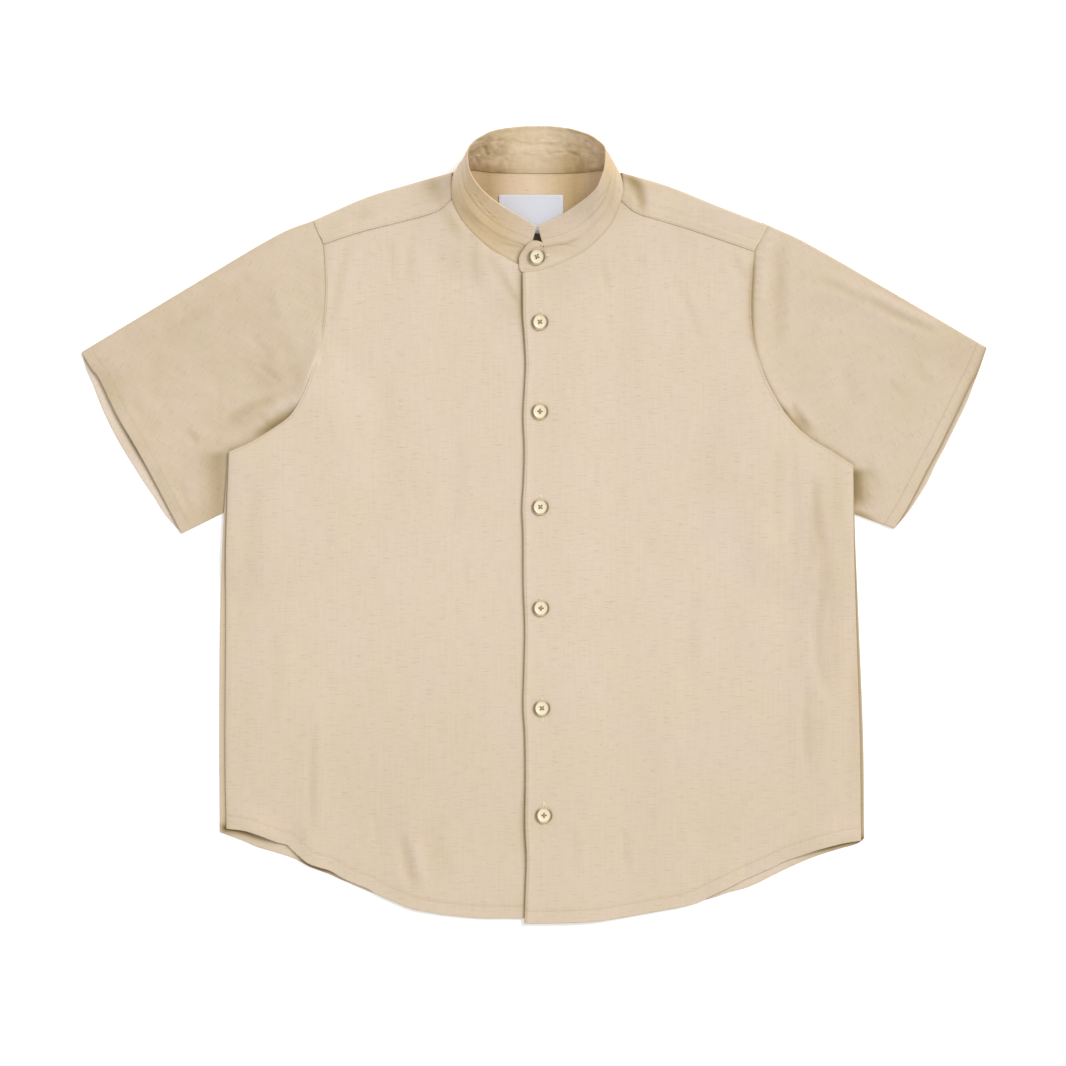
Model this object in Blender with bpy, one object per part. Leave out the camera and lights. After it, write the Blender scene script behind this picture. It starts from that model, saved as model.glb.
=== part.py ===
"""Short-sleeved shirt with a mandarin collar, buttoned up and laid flat on its back.

+Z is up from the surface that it lies on, +Y runs from the hem to the collar, and +X is the wearer's left.
Sizes are in millimetres, and the meshes are scaled to metres as they are made.
"""

import math
from collections import namedtuple

import bpy

TO_METRES = 0.001

# Cloth thicknesses.
CLOTH = 1.2  # body, yoke and sleeves
COLLAR_CLOTH = 1.6  # two layers with an interlining between them
LABEL_CLOTH = 1.0
SEAM_GAP = 0.3  # between two pieces that meet at a seam
COLLAR_SEAM_GAP = 0.4  # along the collar, which the slanting seam narrows

# Heights of the layers over the surface.
LOFT = 1.2  # air between the back and the front
FRONT_UNDERSIDE = CLOTH + LOFT
PLACKET_RISE = 2.0  # the wearer's left front lies on the right one here
PLACKET_FADE = (28.0, 85.0)  # from this X to this X the left front comes down again
EDGE_FADE = 32.0  # the front comes down to the back over this width along its sides
HEM_FADE = 22.0
SLEEVE_TOP = 3.6
TUCKED_TOP = 3.0  # the sleeve is pressed flatter where the body lies on it
CORNER_LIFT = 3.3  # the back's rise over the tucked sleeve
CORNER_EXTRA = 1.25  # the front rises this many times as much
CORNER_FULL, CORNER_END = 88.0, 140.0  # radii of that rise
MOUTH_RISE = 1.3  # how far the cuff stands open at its middle
NECK_LIFT = 5.5  # the collar holds the cloth up at the sides of the neck
NECK_CENTRE = (2.8, 300.0)
NECK_RADII = (79.0, 62.0)
NECK_FADE = 0.6  # as a share of those radii

# Buttons.
BUTTON_RADIUS = 7.2
BUTTON_DEPTH = 2.6
BUTTON_RIM = 1.3
BUTTON_HOLE_RADIUS = 0.8
BUTTON_HOLE_SPACING = 2.6
BUTTON_SIDES = 24
BUTTONS_XY = (
    (5.6, 188.3),
    (5.6, 105.1),
    (6.0, 16.3),
    (6.5, -77.7),
    (7.4, -170.7),
    (9.3, -270.2),
)
COLLAR_BUTTON_XY = (2.8, 249.0)

LABEL_SIZE = (59.5, 35.8)
LABEL_CENTRE = (-2.8, 288.5)
SIZE_TAB_SIZE = (16.0, 12.0)
SIZE_TAB_CENTRE = (2.8, 264.3)

# The seam from the shoulder fold to the underarm. Point 2 is where the yoke's front seam meets it, point 3 the
# yoke's back seam, and from point 8 on the body lies on the sleeve.
ARMHOLE = {
    "right": (
        (-205.5, 282.3),
        (-200.0, 269.5),
        (-196.0, 260.6),
        (-194.0, 232.0),
        (-194.3, 205.0),
        (-197.5, 178.0),
        (-204.0, 150.0),
        (-213.5, 123.0),
        (-226.0, 102.0),
        (-244.5, 88.0),
        (-263.5, 76.5),
        (-283.5, 67.4),
    ),
    "left": (
        (217.6, 278.1),
        (210.5, 264.5),
        (205.0, 253.9),
        (203.5, 232.0),
        (202.2, 206.0),
        (203.4, 180.0),
        (208.5, 156.0),
        (217.2, 131.5),
        (233.5, 103.5),
        (253.5, 82.5),
        (276.0, 68.5),
        (296.3, 55.3),
    ),
}
FRONT_YOKE_POINT, BACK_YOKE_POINT, TUCK_POINT = 2, 3, 8
TUCKED_EDGE = {"right": ((-239.0, 66.0), (-252.0, 30.0)), "left": ((247.0, 62.0), (262.0, 24.0))}
CORNER_CENTRE = {"right": (-268.0, 62.0), "left": (281.0, 50.0)}

# Outlines, each as the few points that a smooth curve runs through.
SHOULDER_FOLD = {
    "right": ((-205.5, 282.3), (-157.2, 303.6), (-112.0, 317.5), (-77.6, 326.8)),
    "left": ((217.6, 278.1), (173.0, 295.3), (125.0, 314.5), (83.4, 326.4)),
}
FRONT_YOKE_SEAM = {
    "right": ((-196.0, 260.6), (-161.2, 272.0), (-120.0, 282.3), (-91.0, 290.8)),
    "left": ((205.0, 253.9), (148.8, 273.0), (115.0, 283.2), (95.0, 289.5)),
}
FRONT_SIDE = {
    "right": ((-286.0, -282.5), (-287.0, -215.0), (-286.5, -100.0), (-286.2, -20.0), (-283.5, 67.4)),
    "left": ((304.0, -293.5), (302.8, -200.0), (299.5, -95.0), (297.2, -20.0), (296.3, 55.3)),
}
BACK_SIDE = {
    "right": ((-291.7, -285.7), (-292.3, -200.0), (-291.6, -90.0), (-289.0, -10.0), (-283.9, 67.6)),
    "left": ((306.9, -291.6), (306.0, -200.0), (301.7, -90.0), (298.4, -15.0), (296.7, 55.6)),
}
FRONT_HEM = {
    "right": (
        (-286.0, -282.5),
        (-252.0, -288.5),
        (-219.0, -307.0),
        (-176.0, -330.0),
        (-127.0, -353.0),
        (-92.0, -362.3),
        (-50.0, -366.0),
        (22.0, -366.0),
    ),
    "left": (
        (304.0, -293.5),
        (258.0, -304.0),
        (211.0, -323.0),
        (158.0, -347.5),
        (107.0, -360.5),
        (62.0, -368.5),
        (20.0, -370.3),
        (-8.6, -370.4),
    ),
}
BACK_HEM = (
    (-291.7, -285.7),
    (-242.3, -304.9),
    (-189.0, -325.5),
    (-120.0, -350.0),
    (2.8, -363.0),
    (125.0, -354.0),
    (202.7, -333.7),
    (264.6, -305.5),
    (306.9, -291.6),
)
SLEEVE_FOLD = {
    "right": ((-205.5, 282.3), (-240.0, 268.3), (-314.0, 224.6), (-420.4, 160.4)),
    "left": ((217.6, 278.1), (254.8, 260.9), (329.2, 218.1), (420.6, 164.6)),
}
SLEEVE_UNDER_FOLD = {
    "right": ((-252.0, 30.0), (-287.4, 11.5), (-327.2, -8.3)),
    "left": ((262.0, 24.0), (300.0, 9.0), (334.5, -4.0)),
}
CUFF_FRONT = {
    "right": ((-420.4, 160.4), (-403.5, 135.0), (-387.4, 102.0), (-360.7, 55.8), (-346.5, 29.1), (-327.2, -8.3)),
    "left": ((420.6, 164.6), (401.8, 117.3), (377.6, 73.5), (353.2, 24.8), (334.5, -4.0)),
}
CUFF_BACK = {
    "right": ((-420.4, 160.4), (-412.4, 142.9), (-394.6, 95.0), (-369.7, 52.2), (-348.3, 21.9), (-327.2, -8.3)),
    "left": ((420.6, 164.6), (406.5, 118.0), (382.5, 70.0), (357.5, 24.0), (334.5, -4.0)),
}
PLACKET_EDGE = ((-8.6, -370.4), (-7.6, -170.0), (-9.6, 30.0), (-10.6, 190.0), (-8.4, 233.6))
UNDERLAP_EDGE = ((22.0, -366.0), (22.0, 234.9))

# The collar stands on the neck seam and leans from it to its top edge: the seam's point, the top's point, and how
# far the top is above the seam. Station 6 is where the yoke's front seam meets the neck, and 8 the shoulder fold.
Station = namedtuple("Station", "seam top rise")
COLLAR = {
    "right": (
        Station((-9.3, 239.5), (2.0, 276.5), 4.8),
        Station((-25.0, 247.4), (-9.3, 283.7), 7.4),
        Station((-40.0, 256.7), (-21.4, 290.3), 12.6),
        Station((-53.9, 268.3), (-34.4, 298.4), 18.4),
        Station((-65.1, 280.9), (-45.9, 307.6), 23.2),
        Station((-72.1, 292.5), (-53.5, 316.0), 27.2),
        Station((-76.2, 302.5), (-58.5, 324.5), 29.6),
        Station((-77.0, 314.0), (-62.0, 336.0), 30.8),
        Station((-75.8, 324.5), (-61.5, 347.0), 30.5),
        Station((-69.5, 329.0), (-54.5, 355.5), 28.6),
        Station((-57.7, 330.0), (-43.7, 362.4), 23.8),
        Station((-41.5, 328.0), (-30.5, 366.6), 15.6),
        Station((-20.0, 327.1), (-14.5, 368.9), 9.2),
        Station((2.8, 326.9), (2.8, 369.6), 6.5),
    ),
    "left": (
        Station((13.0, 238.5), (4.0, 277.0), 4.1),
        Station((25.5, 243.2), (14.5, 281.8), 5.2),
        Station((39.5, 249.5), (26.5, 287.6), 6.6),
        Station((52.3, 258.5), (38.0, 295.0), 10.4),
        Station((63.5, 269.3), (49.5, 303.0), 16.8),
        Station((73.0, 282.0), (58.5, 312.0), 22.6),
        Station((80.6, 300.5), (64.0, 324.5), 27.0),
        Station((82.5, 312.5), (66.3, 337.0), 28.6),
        Station((81.0, 323.5), (66.0, 348.0), 28.8),
        Station((74.0, 328.3), (59.0, 356.5), 27.0),
        Station((61.0, 329.5), (46.5, 363.0), 22.0),
        Station((44.0, 327.8), (32.0, 367.2), 13.6),
        Station((24.0, 327.1), (17.5, 369.2), 8.4),
        Station((2.8, 326.9), (2.8, 369.6), 6.5),
    ),
}
YOKE_STATION, FOLD_STATION = 6, 8
STAND_SHARE, FRONT_STAND_SHARE = 0.42, 0.48  # of the collar's height, below the seam of stand and band
# The stand's two ends past the centre front: the neck seam, the upper edge, and the height of the middle.
StandEnd = namedtuple("StandEnd", "seam upper")
UNDERLAP_END = (StandEnd((20.0, 235.6), (19.0, 255.2)), StandEnd((6.0, 236.4), (7.5, 256.6)))
TAB_END = (
    StandEnd((2.0, 235.7), (4.4, 261.4)),
    StandEnd((-4.0, 234.7), (-2.8, 261.6)),
    StandEnd((-8.5, 234.6), (-7.6, 256.4)),
    StandEnd((-11.4, 236.4), (-11.2, 250.6)),
    StandEnd((-12.6, 240.5), (-12.6, 246.8)),
)
UNDERLAP_MID, TAB_MID = 3.3, 5.5
TAB_SLOPE = 0.13
BAND_END = {"right": ((-3.2, 258.4), (2.2, 276.4)), "left": ((11.2, 258.2), (3.9, 276.9))}

# The largest soft folds of the front and the sleeves.
Fold = namedtuple("Fold", "start end half_width height")
FOLDS = (
    Fold((268.0, 45.0), (262.0, -215.0), 34.0, 2.6),
    Fold((212.0, 60.0), (206.0, -120.0), 30.0, 1.4),
    Fold((-176.0, 262.0), (-182.0, 180.0), 26.0, 1.6),
    Fold((-118.0, -250.0), (-112.0, -350.0), 30.0, 2.0),
    Fold((-205.0, -160.0), (-201.0, -300.0), 28.0, 1.4),
    Fold((110.0, 240.0), (96.0, 90.0), 30.0, 1.4),
    Fold((-110.0, 235.0), (-122.0, 40.0), 32.0, 1.2),
    Fold((120.0, -150.0), (128.0, -330.0), 32.0, 1.2),
    Fold((262.0, 226.0), (380.0, 172.0), 26.0, 2.6),
    Fold((-245.0, 225.0), (-330.0, 160.0), 30.0, 1.6),
    Fold((-240.0, 130.0), (-330.0, 80.0), 30.0, 2.0),
    Fold((262.0, 120.0), (345.0, 70.0), 30.0, 1.6),
)

SIDE_ROWS = 13
SHOULDER_COLUMNS = 5
SLEEVE_STATIONS = 11
FOLD_ANGLES = tuple(math.radians(a) for a in (-90, -45, 0, 45, 90))
BACK_YOKE_ROWS = 3

# Colours are linear RGB.
LINEN = (0.723, 0.604, 0.450)
COLLAR_LINEN = (0.680, 0.560, 0.405)
WOVEN_WHITE = (0.80, 0.81, 0.84)
WOVEN_BROWN = (0.085, 0.052, 0.030)
BUTTON_IVORY = (0.86, 0.78, 0.58)


def mix(a, b, share):
    return tuple(p + (q - p) * share for p, q in zip(a, b))


def ease(share):
    """0 below 0, 1 above 1, and smooth between."""
    share = min(max(share, 0.0), 1.0)
    return share * share * (3 - 2 * share)


def fractions(points):
    """Each point's share of the way along the line through them."""
    total = [0.0]
    for a, b in zip(points, points[1:]):
        total.append(total[-1] + math.dist(a, b))
    return [t / total[-1] for t in total]


def smooth(points, per_span=12):
    """A Catmull-Rom curve through the points."""
    if len(points) == 2:
        return [mix(points[0], points[1], k / per_span) for k in range(per_span + 1)]
    before = mix(points[1], points[0], 2)
    after = mix(points[-2], points[-1], 2)
    hull = [before, *points, after]
    curve = [points[0]]
    for a, b, c, d in zip(hull, hull[1:], hull[2:], hull[3:]):
        for k in range(1, per_span + 1):
            t = k / per_span
            curve.append(
                tuple(
                    0.5 * (2 * q + (r - p) * t + (2 * p - 5 * q + 4 * r - s) * t**2 + (3 * q - p - 3 * r + s) * t**3)
                    for p, q, r, s in zip(a, b, c, d)
                )
            )
    return curve


def at(points, shares):
    """Points at these shares of the way along the smooth curve through the given points."""
    curve = smooth(points)
    places = fractions(curve)
    found = []
    k = 0
    for share in shares:
        while k < len(places) - 2 and places[k + 1] < share:
            k += 1
        span = places[k + 1] - places[k]
        found.append(mix(curve[k], curve[k + 1], (share - places[k]) / span))
    return found


def evenly(points, count):
    return at(points, [k / count for k in range(count + 1)])


def patch(low, high, first, last):
    """Rows of points that fill four edges: low and high run along a row, first and last run up the rows."""
    across = [(a + b) / 2 for a, b in zip(fractions(low), fractions(high))]
    up = [(a + b) / 2 for a, b in zip(fractions(first), fractions(last))]
    rows = []
    for j, v in enumerate(up):
        row = []
        for i, u in enumerate(across):
            between = mix(low[i], high[i], v), mix(first[j], last[j], u)
            corners = mix(mix(low[0], low[-1], u), mix(high[0], high[-1], u), v)
            row.append(tuple(a + b - c for a, b, c in zip(*between, corners)))
        rows.append(row)
    return rows


def corner_share(x, y):
    """1 round each underarm, where the body lies on the sleeve, and 0 elsewhere."""
    near = min(math.dist((x, y), centre) for centre in CORNER_CENTRE.values())
    return 1 - ease((near - CORNER_FULL) / (CORNER_END - CORNER_FULL))


def neck_lift(x, y):
    across = (x - NECK_CENTRE[0]) / NECK_RADII[0]
    up = (y - NECK_CENTRE[1]) / NECK_RADII[1]
    reach = max(math.hypot(across, up), 1e-6)
    return NECK_LIFT * min(abs(across) / reach, 1) * (1 - ease((reach - 1) / NECK_FADE))


def fold_height(x, y):
    """The soft folds' height over the layer that they lie in."""
    height = 0.0
    for fold in FOLDS:
        along = (fold.end[0] - fold.start[0], fold.end[1] - fold.start[1])
        length = math.hypot(*along)
        way = (along[0] / length, along[1] / length)
        from_start = (x - fold.start[0], y - fold.start[1])
        on = from_start[0] * way[0] + from_start[1] * way[1]
        off = abs(from_start[0] * way[1] - from_start[1] * way[0])
        ends = ease((on + fold.half_width) / (2 * fold.half_width)) * ease(
            (length + fold.half_width - on) / (2 * fold.half_width)
        )
        height += fold.height * ends * (1 - ease(off / fold.half_width))
    return height


def back_underside(x, y):
    return CORNER_LIFT * corner_share(x, y)


def front_underside(x, y, placket=0.0, edge=1.0):
    """The height of the front's lower face. Placket is 1 on the wearer's left front, and edge is 0 along a side."""
    rest = CLOTH + SEAM_GAP + CORNER_LIFT * CORNER_EXTRA * corner_share(x, y)
    start, end = PLACKET_FADE
    lap = placket * PLACKET_RISE * (1 - ease((x - start) / (end - start)))
    return rest + (LOFT - SEAM_GAP + fold_height(x, y)) * edge + neck_lift(x, y) + lap


def sleeve_top(x, y):
    return TUCKED_TOP + (SLEEVE_TOP - TUCKED_TOP + fold_height(x, y)) * (1 - corner_share(x, y))


def material(name, colour, roughness):
    made = bpy.data.materials.new(name)
    made.use_nodes = True
    shader = made.node_tree.nodes["Principled BSDF"]
    shader.inputs["Base Color"].default_value = (*colour, 1.0)
    shader.inputs["Roughness"].default_value = roughness
    shader.inputs["Metallic"].default_value = 0.0
    return made


def add_object(name, points, faces, shirt, finish):
    mesh = bpy.data.meshes.new(name)
    mesh.from_pydata([[c * TO_METRES for c in p] for p in points], [], faces)
    mesh.shade_smooth()
    mesh.set_sharp_from_angle(angle=math.radians(40))
    mesh.materials.append(finish)
    made = bpy.data.objects.new(name, mesh)
    bpy.context.scene.collection.objects.link(made)
    made.parent = shirt
    return made


def thick_shell(name, outside, inside, quads, shirt, finish):
    """A closed wall between two faces that share one layout of quads, with a rim along its open edges."""
    count = len(outside)
    outer = []
    for a, b, c, d in quads:
        outer += [(a, b, c), (a, c, d)]
    edges = {(t[k], t[(k + 1) % 3]) for t in outer for k in range(3)}
    inner = [(c + count, b + count, a + count) for a, b, c in outer]
    rim = []
    for a, b in sorted(edges):
        if (b, a) not in edges:
            rim += [(b, a, a + count), (b, a + count, b + count)]
    return add_object(name, [*outside, *inside], outer + inner + rim, shirt, finish)


def grid_quads(rows, columns, start=0):
    """Quads over points that are numbered row by row, anticlockwise seen from the side of rising rows."""
    return [
        (a, a + 1, a + columns + 1, a + columns)
        for j in range(rows - 1)
        for a in range(start + j * columns, start + (j + 1) * columns - 1)
    ]


def sheet(name, rows, underside, thickness, shirt, finish, flip=False):
    """A panel over rows of plan points, its lower face at the height that underside gives."""
    low = [(*p, underside(p, j, i)) for j, row in enumerate(rows) for i, p in enumerate(row)]
    high = [(x, y, z + thickness) for x, y, z in low]
    quads = grid_quads(len(rows), len(rows[0]))
    if flip:
        quads = [tuple(reversed(q)) for q in quads]
    return thick_shell(name, high, low, quads, shirt, finish)


def off_collar(side, index):
    """The neckline at a station of the collar, moved off it by the gap and by half of the wall that stands there."""
    stations = COLLAR[side]
    before, station, after = (stations[min(max(index + k, 0), len(stations) - 1)] for k in (-1, 0, 1))
    along = (after.seam[0] - before.seam[0], after.seam[1] - before.seam[1])
    upright = station.rise / math.hypot(math.dist(station.seam, station.top), station.rise)
    away = (SEAM_GAP + COLLAR_CLOTH / 2 * upright) / math.hypot(*along)
    # The front lies outside the ring of the collar, and the back of the yoke inside it.
    if (side == "left") == (index <= FOLD_STATION):
        away = -away
    return (station.seam[0] - along[1] * away, station.seam[1] + along[0] * away)


def neck_edge(side):
    """The front's neckline from the yoke's seam to the centre front."""
    return [off_collar(side, index) for index in range(YOKE_STATION, -1, -1)]


def yoke_seam(side):
    """The yoke's front seam from the armhole to the neck."""
    return evenly((*FRONT_YOKE_SEAM[side], neck_edge(side)[0]), SHOULDER_COLUMNS)


def front_panel(side, shirt, finish):
    placket = 1.0 if side == "left" else 0.0
    centre = PLACKET_EDGE if side == "left" else UNDERLAP_EDGE
    neck = neck_edge(side)
    neck[0] = (neck[0][0], neck[0][1] - SEAM_GAP)
    crossing = TAB_END[0] if side == "left" else UNDERLAP_END[1]
    neck += [(crossing.seam[0], crossing.seam[1] - SEAM_GAP), centre[-1]]
    top = [(x, y - SEAM_GAP) for x, y in yoke_seam(side)[:-1]] + neck
    armhole = list(reversed(ARMHOLE[side][FRONT_YOKE_POINT:]))
    armhole[-1] = top[0]
    outer = evenly(FRONT_SIDE[side], SIDE_ROWS)[:-1] + armhole
    hem = at(FRONT_HEM[side], fractions(top))
    middle = at(centre, fractions(outer))
    rows = patch(hem, top, outer, middle)

    def underside(point, j, i):
        edge = ease(math.dist(point, rows[j][0]) / EDGE_FADE) if j <= SIDE_ROWS + 3 else 1.0
        edge *= 0.35 + 0.65 * ease(math.dist(point, rows[0][i]) / HEM_FADE)
        return front_underside(*point, placket, edge)

    return sheet(f"front_{side}", rows, underside, CLOTH, shirt, finish, flip=side == "left")


def back_panel(shirt, finish):
    sides = {}
    for side in ARMHOLE:
        armhole = list(reversed(ARMHOLE[side][BACK_YOKE_POINT:]))
        sides[side] = evenly(BACK_SIDE[side], SIDE_ROWS)[:-1] + armhole
    top = evenly((ARMHOLE["right"][BACK_YOKE_POINT], ARMHOLE["left"][BACK_YOKE_POINT]), 18)
    hem = at(BACK_HEM, fractions(top))
    rows = patch(hem, top, sides["right"], sides["left"])
    return sheet("back", rows, lambda p, j, i: back_underside(*p), CLOTH, shirt, finish)


def turned_fold(fold, inward, height):
    """The outer and inner points of a fold's turn, from the lower layer to the upper one."""
    away = math.dist(fold, inward)
    way = ((inward[0] - fold[0]) / away, (inward[1] - fold[1]) / away)
    radius = max(height / 2, 1.5 * CLOTH)
    outer, inner = [], []
    for angle in FOLD_ANGLES:
        out = radius * (1 - math.cos(angle))
        outer.append((fold[0] + way[0] * out, fold[1] + way[1] * out, height / 2 * (1 + math.sin(angle))))
        into = radius - (radius - CLOTH) * math.cos(angle)
        level = height / 2 + (height / 2 - CLOTH) * math.sin(angle)
        inner.append((fold[0] + way[0] * into, fold[1] + way[1] * into, level))
    return outer, inner


def sleeve(side, shirt, finish):
    away = -SEAM_GAP if side == "right" else SEAM_GAP
    armhole = [(x + away, y) for x, y in ARMHOLE[side][: TUCK_POINT + 1]] + list(TUCKED_EDGE[side])
    fold = evenly((armhole[0], *SLEEVE_FOLD[side][1:]), SLEEVE_STATIONS)
    under_fold = evenly(SLEEVE_UNDER_FOLD[side], SLEEVE_STATIONS)
    shares = fractions(armhole)
    front = patch(armhole, at(CUFF_FRONT[side], shares), fold, under_fold)
    back = patch(armhole, at(CUFF_BACK[side], shares), fold, under_fold)
    outside, inside = [], []
    for station, (upper, lower) in enumerate(zip(front, back)):
        open_share = ease((station / SLEEVE_STATIONS - 0.5) * 2)
        tops = []
        for share, point in zip(shares, upper):
            tops.append(sleeve_top(*point) + MOUTH_RISE * open_share * math.sin(math.pi * share))
        outer, inner = turned_fold(upper[0], upper[1], tops[0])
        for point, top in list(zip(upper, tops))[1:-1]:
            outer.append((*point, top))
            inner.append((*point, top - CLOTH))
        turn = turned_fold(upper[-1], upper[-2], tops[-1])
        outer += reversed(turn[0])
        inner += reversed(turn[1])
        for point in reversed(lower[1:-1]):
            outer.append((*point, 0.0))
            inner.append((*point, CLOTH))
        outside.append(outer)
        inside.append(inner)
    around = len(outside[0])
    quads = []
    for s in range(len(outside) - 1):
        for k in range(around):
            a, b = s * around + k, s * around + (k + 1) % around
            quads.append((a, b, b + around, a + around))
    if side == "right":
        quads = [tuple(reversed(q)) for q in quads]
    flat = [[p for ring in rings for p in ring] for rings in (outside, inside)]
    return thick_shell(f"sleeve_{side}", *flat, quads, shirt, finish)


def yoke(shirt, finish):
    """One piece: across the back, turned over each shoulder, and down to its two front seams."""
    necks = {side: [off_collar(side, i) for i in range(FOLD_STATION + 1, len(COLLAR[side]))] for side in COLLAR}
    folds = {side: evenly(SHOULDER_FOLD[side], SHOULDER_COLUMNS) for side in COLLAR}
    back_neck = necks["right"] + list(reversed(necks["left"]))[1:]
    top = folds["right"] + back_neck + list(reversed(folds["left"]))
    sides = {side: list(reversed(ARMHOLE[side][: BACK_YOKE_POINT + 1])) for side in COLLAR}
    seam = [(x, y + SEAM_GAP) for x, y in (sides["right"][0], sides["left"][0])]
    sides["right"][0], sides["left"][0] = seam
    low = at(seam, fractions(top))
    rows = patch(low, top, sides["right"], sides["left"])[:-1]
    columns = len(top)
    outside = [(*p, 0.0) for row in rows for p in row]
    inside = [(*p, CLOTH) for row in rows for p in row]
    quads = [tuple(reversed(q)) for q in grid_quads(len(rows), columns)]
    last = (len(rows) - 1) * columns

    def add(outer, inner):
        outside.extend(outer)
        inside.extend(inner)
        return list(range(len(outside) - len(outer), len(outside)))

    # The back neckline.
    shoulder = SHOULDER_COLUMNS + 1
    neck_line = add([(*p, 0.0) for p in back_neck], [(*p, CLOTH) for p in back_neck])
    for k in range(len(neck_line) - 1):
        a = last + shoulder + k
        quads.append((neck_line[k], neck_line[k + 1], a + 1, a))

    # Each shoulder's turn and the strip in front of it.
    for side in COLLAR:
        strip_neck = (folds[side][-1], *(off_collar(side, i) for i in range(FOLD_STATION - 1, YOKE_STATION - 1, -1)))
        strip = patch(folds[side], yoke_seam(side), ARMHOLE[side][: FRONT_YOKE_POINT + 1], strip_neck)
        lines = []
        for i in range(shoulder):
            column = i if side == "right" else columns - 1 - i
            inward = strip[1][i]
            height = front_underside(*strip[0][i]) + CLOTH
            outer, inner = turned_fold(folds[side][i], inward, height)
            for row in strip[1:]:
                top_height = front_underside(*row[i]) + CLOTH
                outer.append((*row[i], top_height))
                inner.append((*row[i], top_height - CLOTH))
            lines.append([last + column, *add(outer, inner)])
        for i in range(shoulder - 1):
            for a, b, c, d in zip(lines[i], lines[i + 1], lines[i + 1][1:], lines[i][1:]):
                quads.append((d, c, b, a) if side == "right" else (a, b, c, d))
        # The corner between the shoulder's turn and the back neckline.
        k = 0 if side == "right" else len(neck_line) - 1
        corner = last + (shoulder if side == "right" else columns - 1 - shoulder)
        a, b, c, d = lines[-1][0], corner, neck_line[k], lines[-1][1]
        quads.append((d, c, b, a) if side == "right" else (a, b, c, d))
    return thick_shell("yoke", outside, inside, quads, shirt, finish)


def seam_height(side, index):
    """The middle height of the collar's lower edge."""
    station = COLLAR[side][index]
    front = front_underside(*station.seam, 1.0 if side == "left" else 0.0) + COLLAR_CLOTH / 2
    flat = COLLAR_CLOTH / 2 + 0.1
    return flat + (front - flat) * (1 - ease((index - FOLD_STATION + 1) / 3))


def collar_lines():
    """The collar's stations all round, from the wearer's right front to the left: the points of the neck seam and of
    the top edge, and the share of the way between them at which the stand ends.
    """
    lines = []
    for side in ("right", "left"):
        half = []
        for index, station in enumerate(COLLAR[side]):
            low = seam_height(side, index)
            if side == "left" and index <= 1:
                low = max(low, TAB_MID)
            share = STAND_SHARE if index else FRONT_STAND_SHARE
            half.append(((*station.seam, low), (*station.top, low + station.rise), share))
        lines += half if side == "right" else list(reversed(half))[1:]
    return lines


def wall(name, columns, thickness, shirt, finish):
    """A band of cloth over columns of points, with the wall set evenly on both sides of them."""
    count, rows = len(columns), len(columns[0])
    outside, inside = [], []
    for i in range(count):
        for j in range(rows):
            before, after = columns[max(i - 1, 0)][j], columns[min(i + 1, count - 1)][j]
            low, high = columns[i][max(j - 1, 0)], columns[i][min(j + 1, rows - 1)]
            along = [b - a for a, b in zip(before, after)]
            up = [b - a for a, b in zip(low, high)]
            normal = (
                along[1] * up[2] - along[2] * up[1],
                along[2] * up[0] - along[0] * up[2],
                along[0] * up[1] - along[1] * up[0],
            )
            size = math.sqrt(sum(c * c for c in normal))
            step = [c / size * thickness / 2 for c in normal]
            outside.append(tuple(p - s for p, s in zip(columns[i][j], step)))
            inside.append(tuple(p + s for p, s in zip(columns[i][j], step)))
    quads = [
        (i * rows + j, i * rows + j + 1, (i + 1) * rows + j + 1, (i + 1) * rows + j)
        for i in range(count - 1)
        for j in range(rows - 1)
    ]
    return thick_shell(name, outside, inside, quads, shirt, finish)


def collar_stand(shirt, finish):
    columns = []
    for end in UNDERLAP_END:
        seam = (*end.seam, UNDERLAP_MID)
        upper = (*end.upper, UNDERLAP_MID + TAB_SLOPE * (end.upper[1] - end.seam[1]))
        columns.append((seam, upper))
    for seam, top, share in collar_lines():
        columns.append((seam, mix(seam, top, share - COLLAR_SEAM_GAP / 2 / math.dist(seam, top))))
    for end in TAB_END:
        heights = [TAB_MID + TAB_SLOPE * (p[1] - TAB_END[0].seam[1]) for p in end]
        columns.append(((*end.seam, heights[0]), (*end.upper, heights[1])))
    columns = [(low, mix(low, high, 0.5), high) for low, high in columns]
    return wall("collar_stand", columns, COLLAR_CLOTH, shirt, finish)


def collar_band(shirt, finish):
    columns = []
    for seam, top, share in collar_lines():
        columns.append([mix(seam, top, share + COLLAR_SEAM_GAP / 2 / math.dist(seam, top)), top])
    for side, index in (("right", 0), ("left", -1)):
        lower, upper = BAND_END[side]
        columns[index] = [(*lower, columns[index][0][2]), (*upper, columns[index][1][2])]
    columns = [(low, mix(low, high, 0.5), high) for low, high in columns]
    return wall("collar_band", columns, COLLAR_CLOTH, shirt, finish)


def label(name, size, centre, shirt, finish):
    """A flat label on the inside of the yoke."""
    half = [s / 2 for s in size]
    rows = [[(centre[0] + a * half[0], centre[1] + b * half[1]) for a in (-1, 0, 1)] for b in (-1, 1)]
    return sheet(name, rows, lambda p, j, i: CLOTH + SEAM_GAP, LABEL_CLOTH, shirt, finish)


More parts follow.
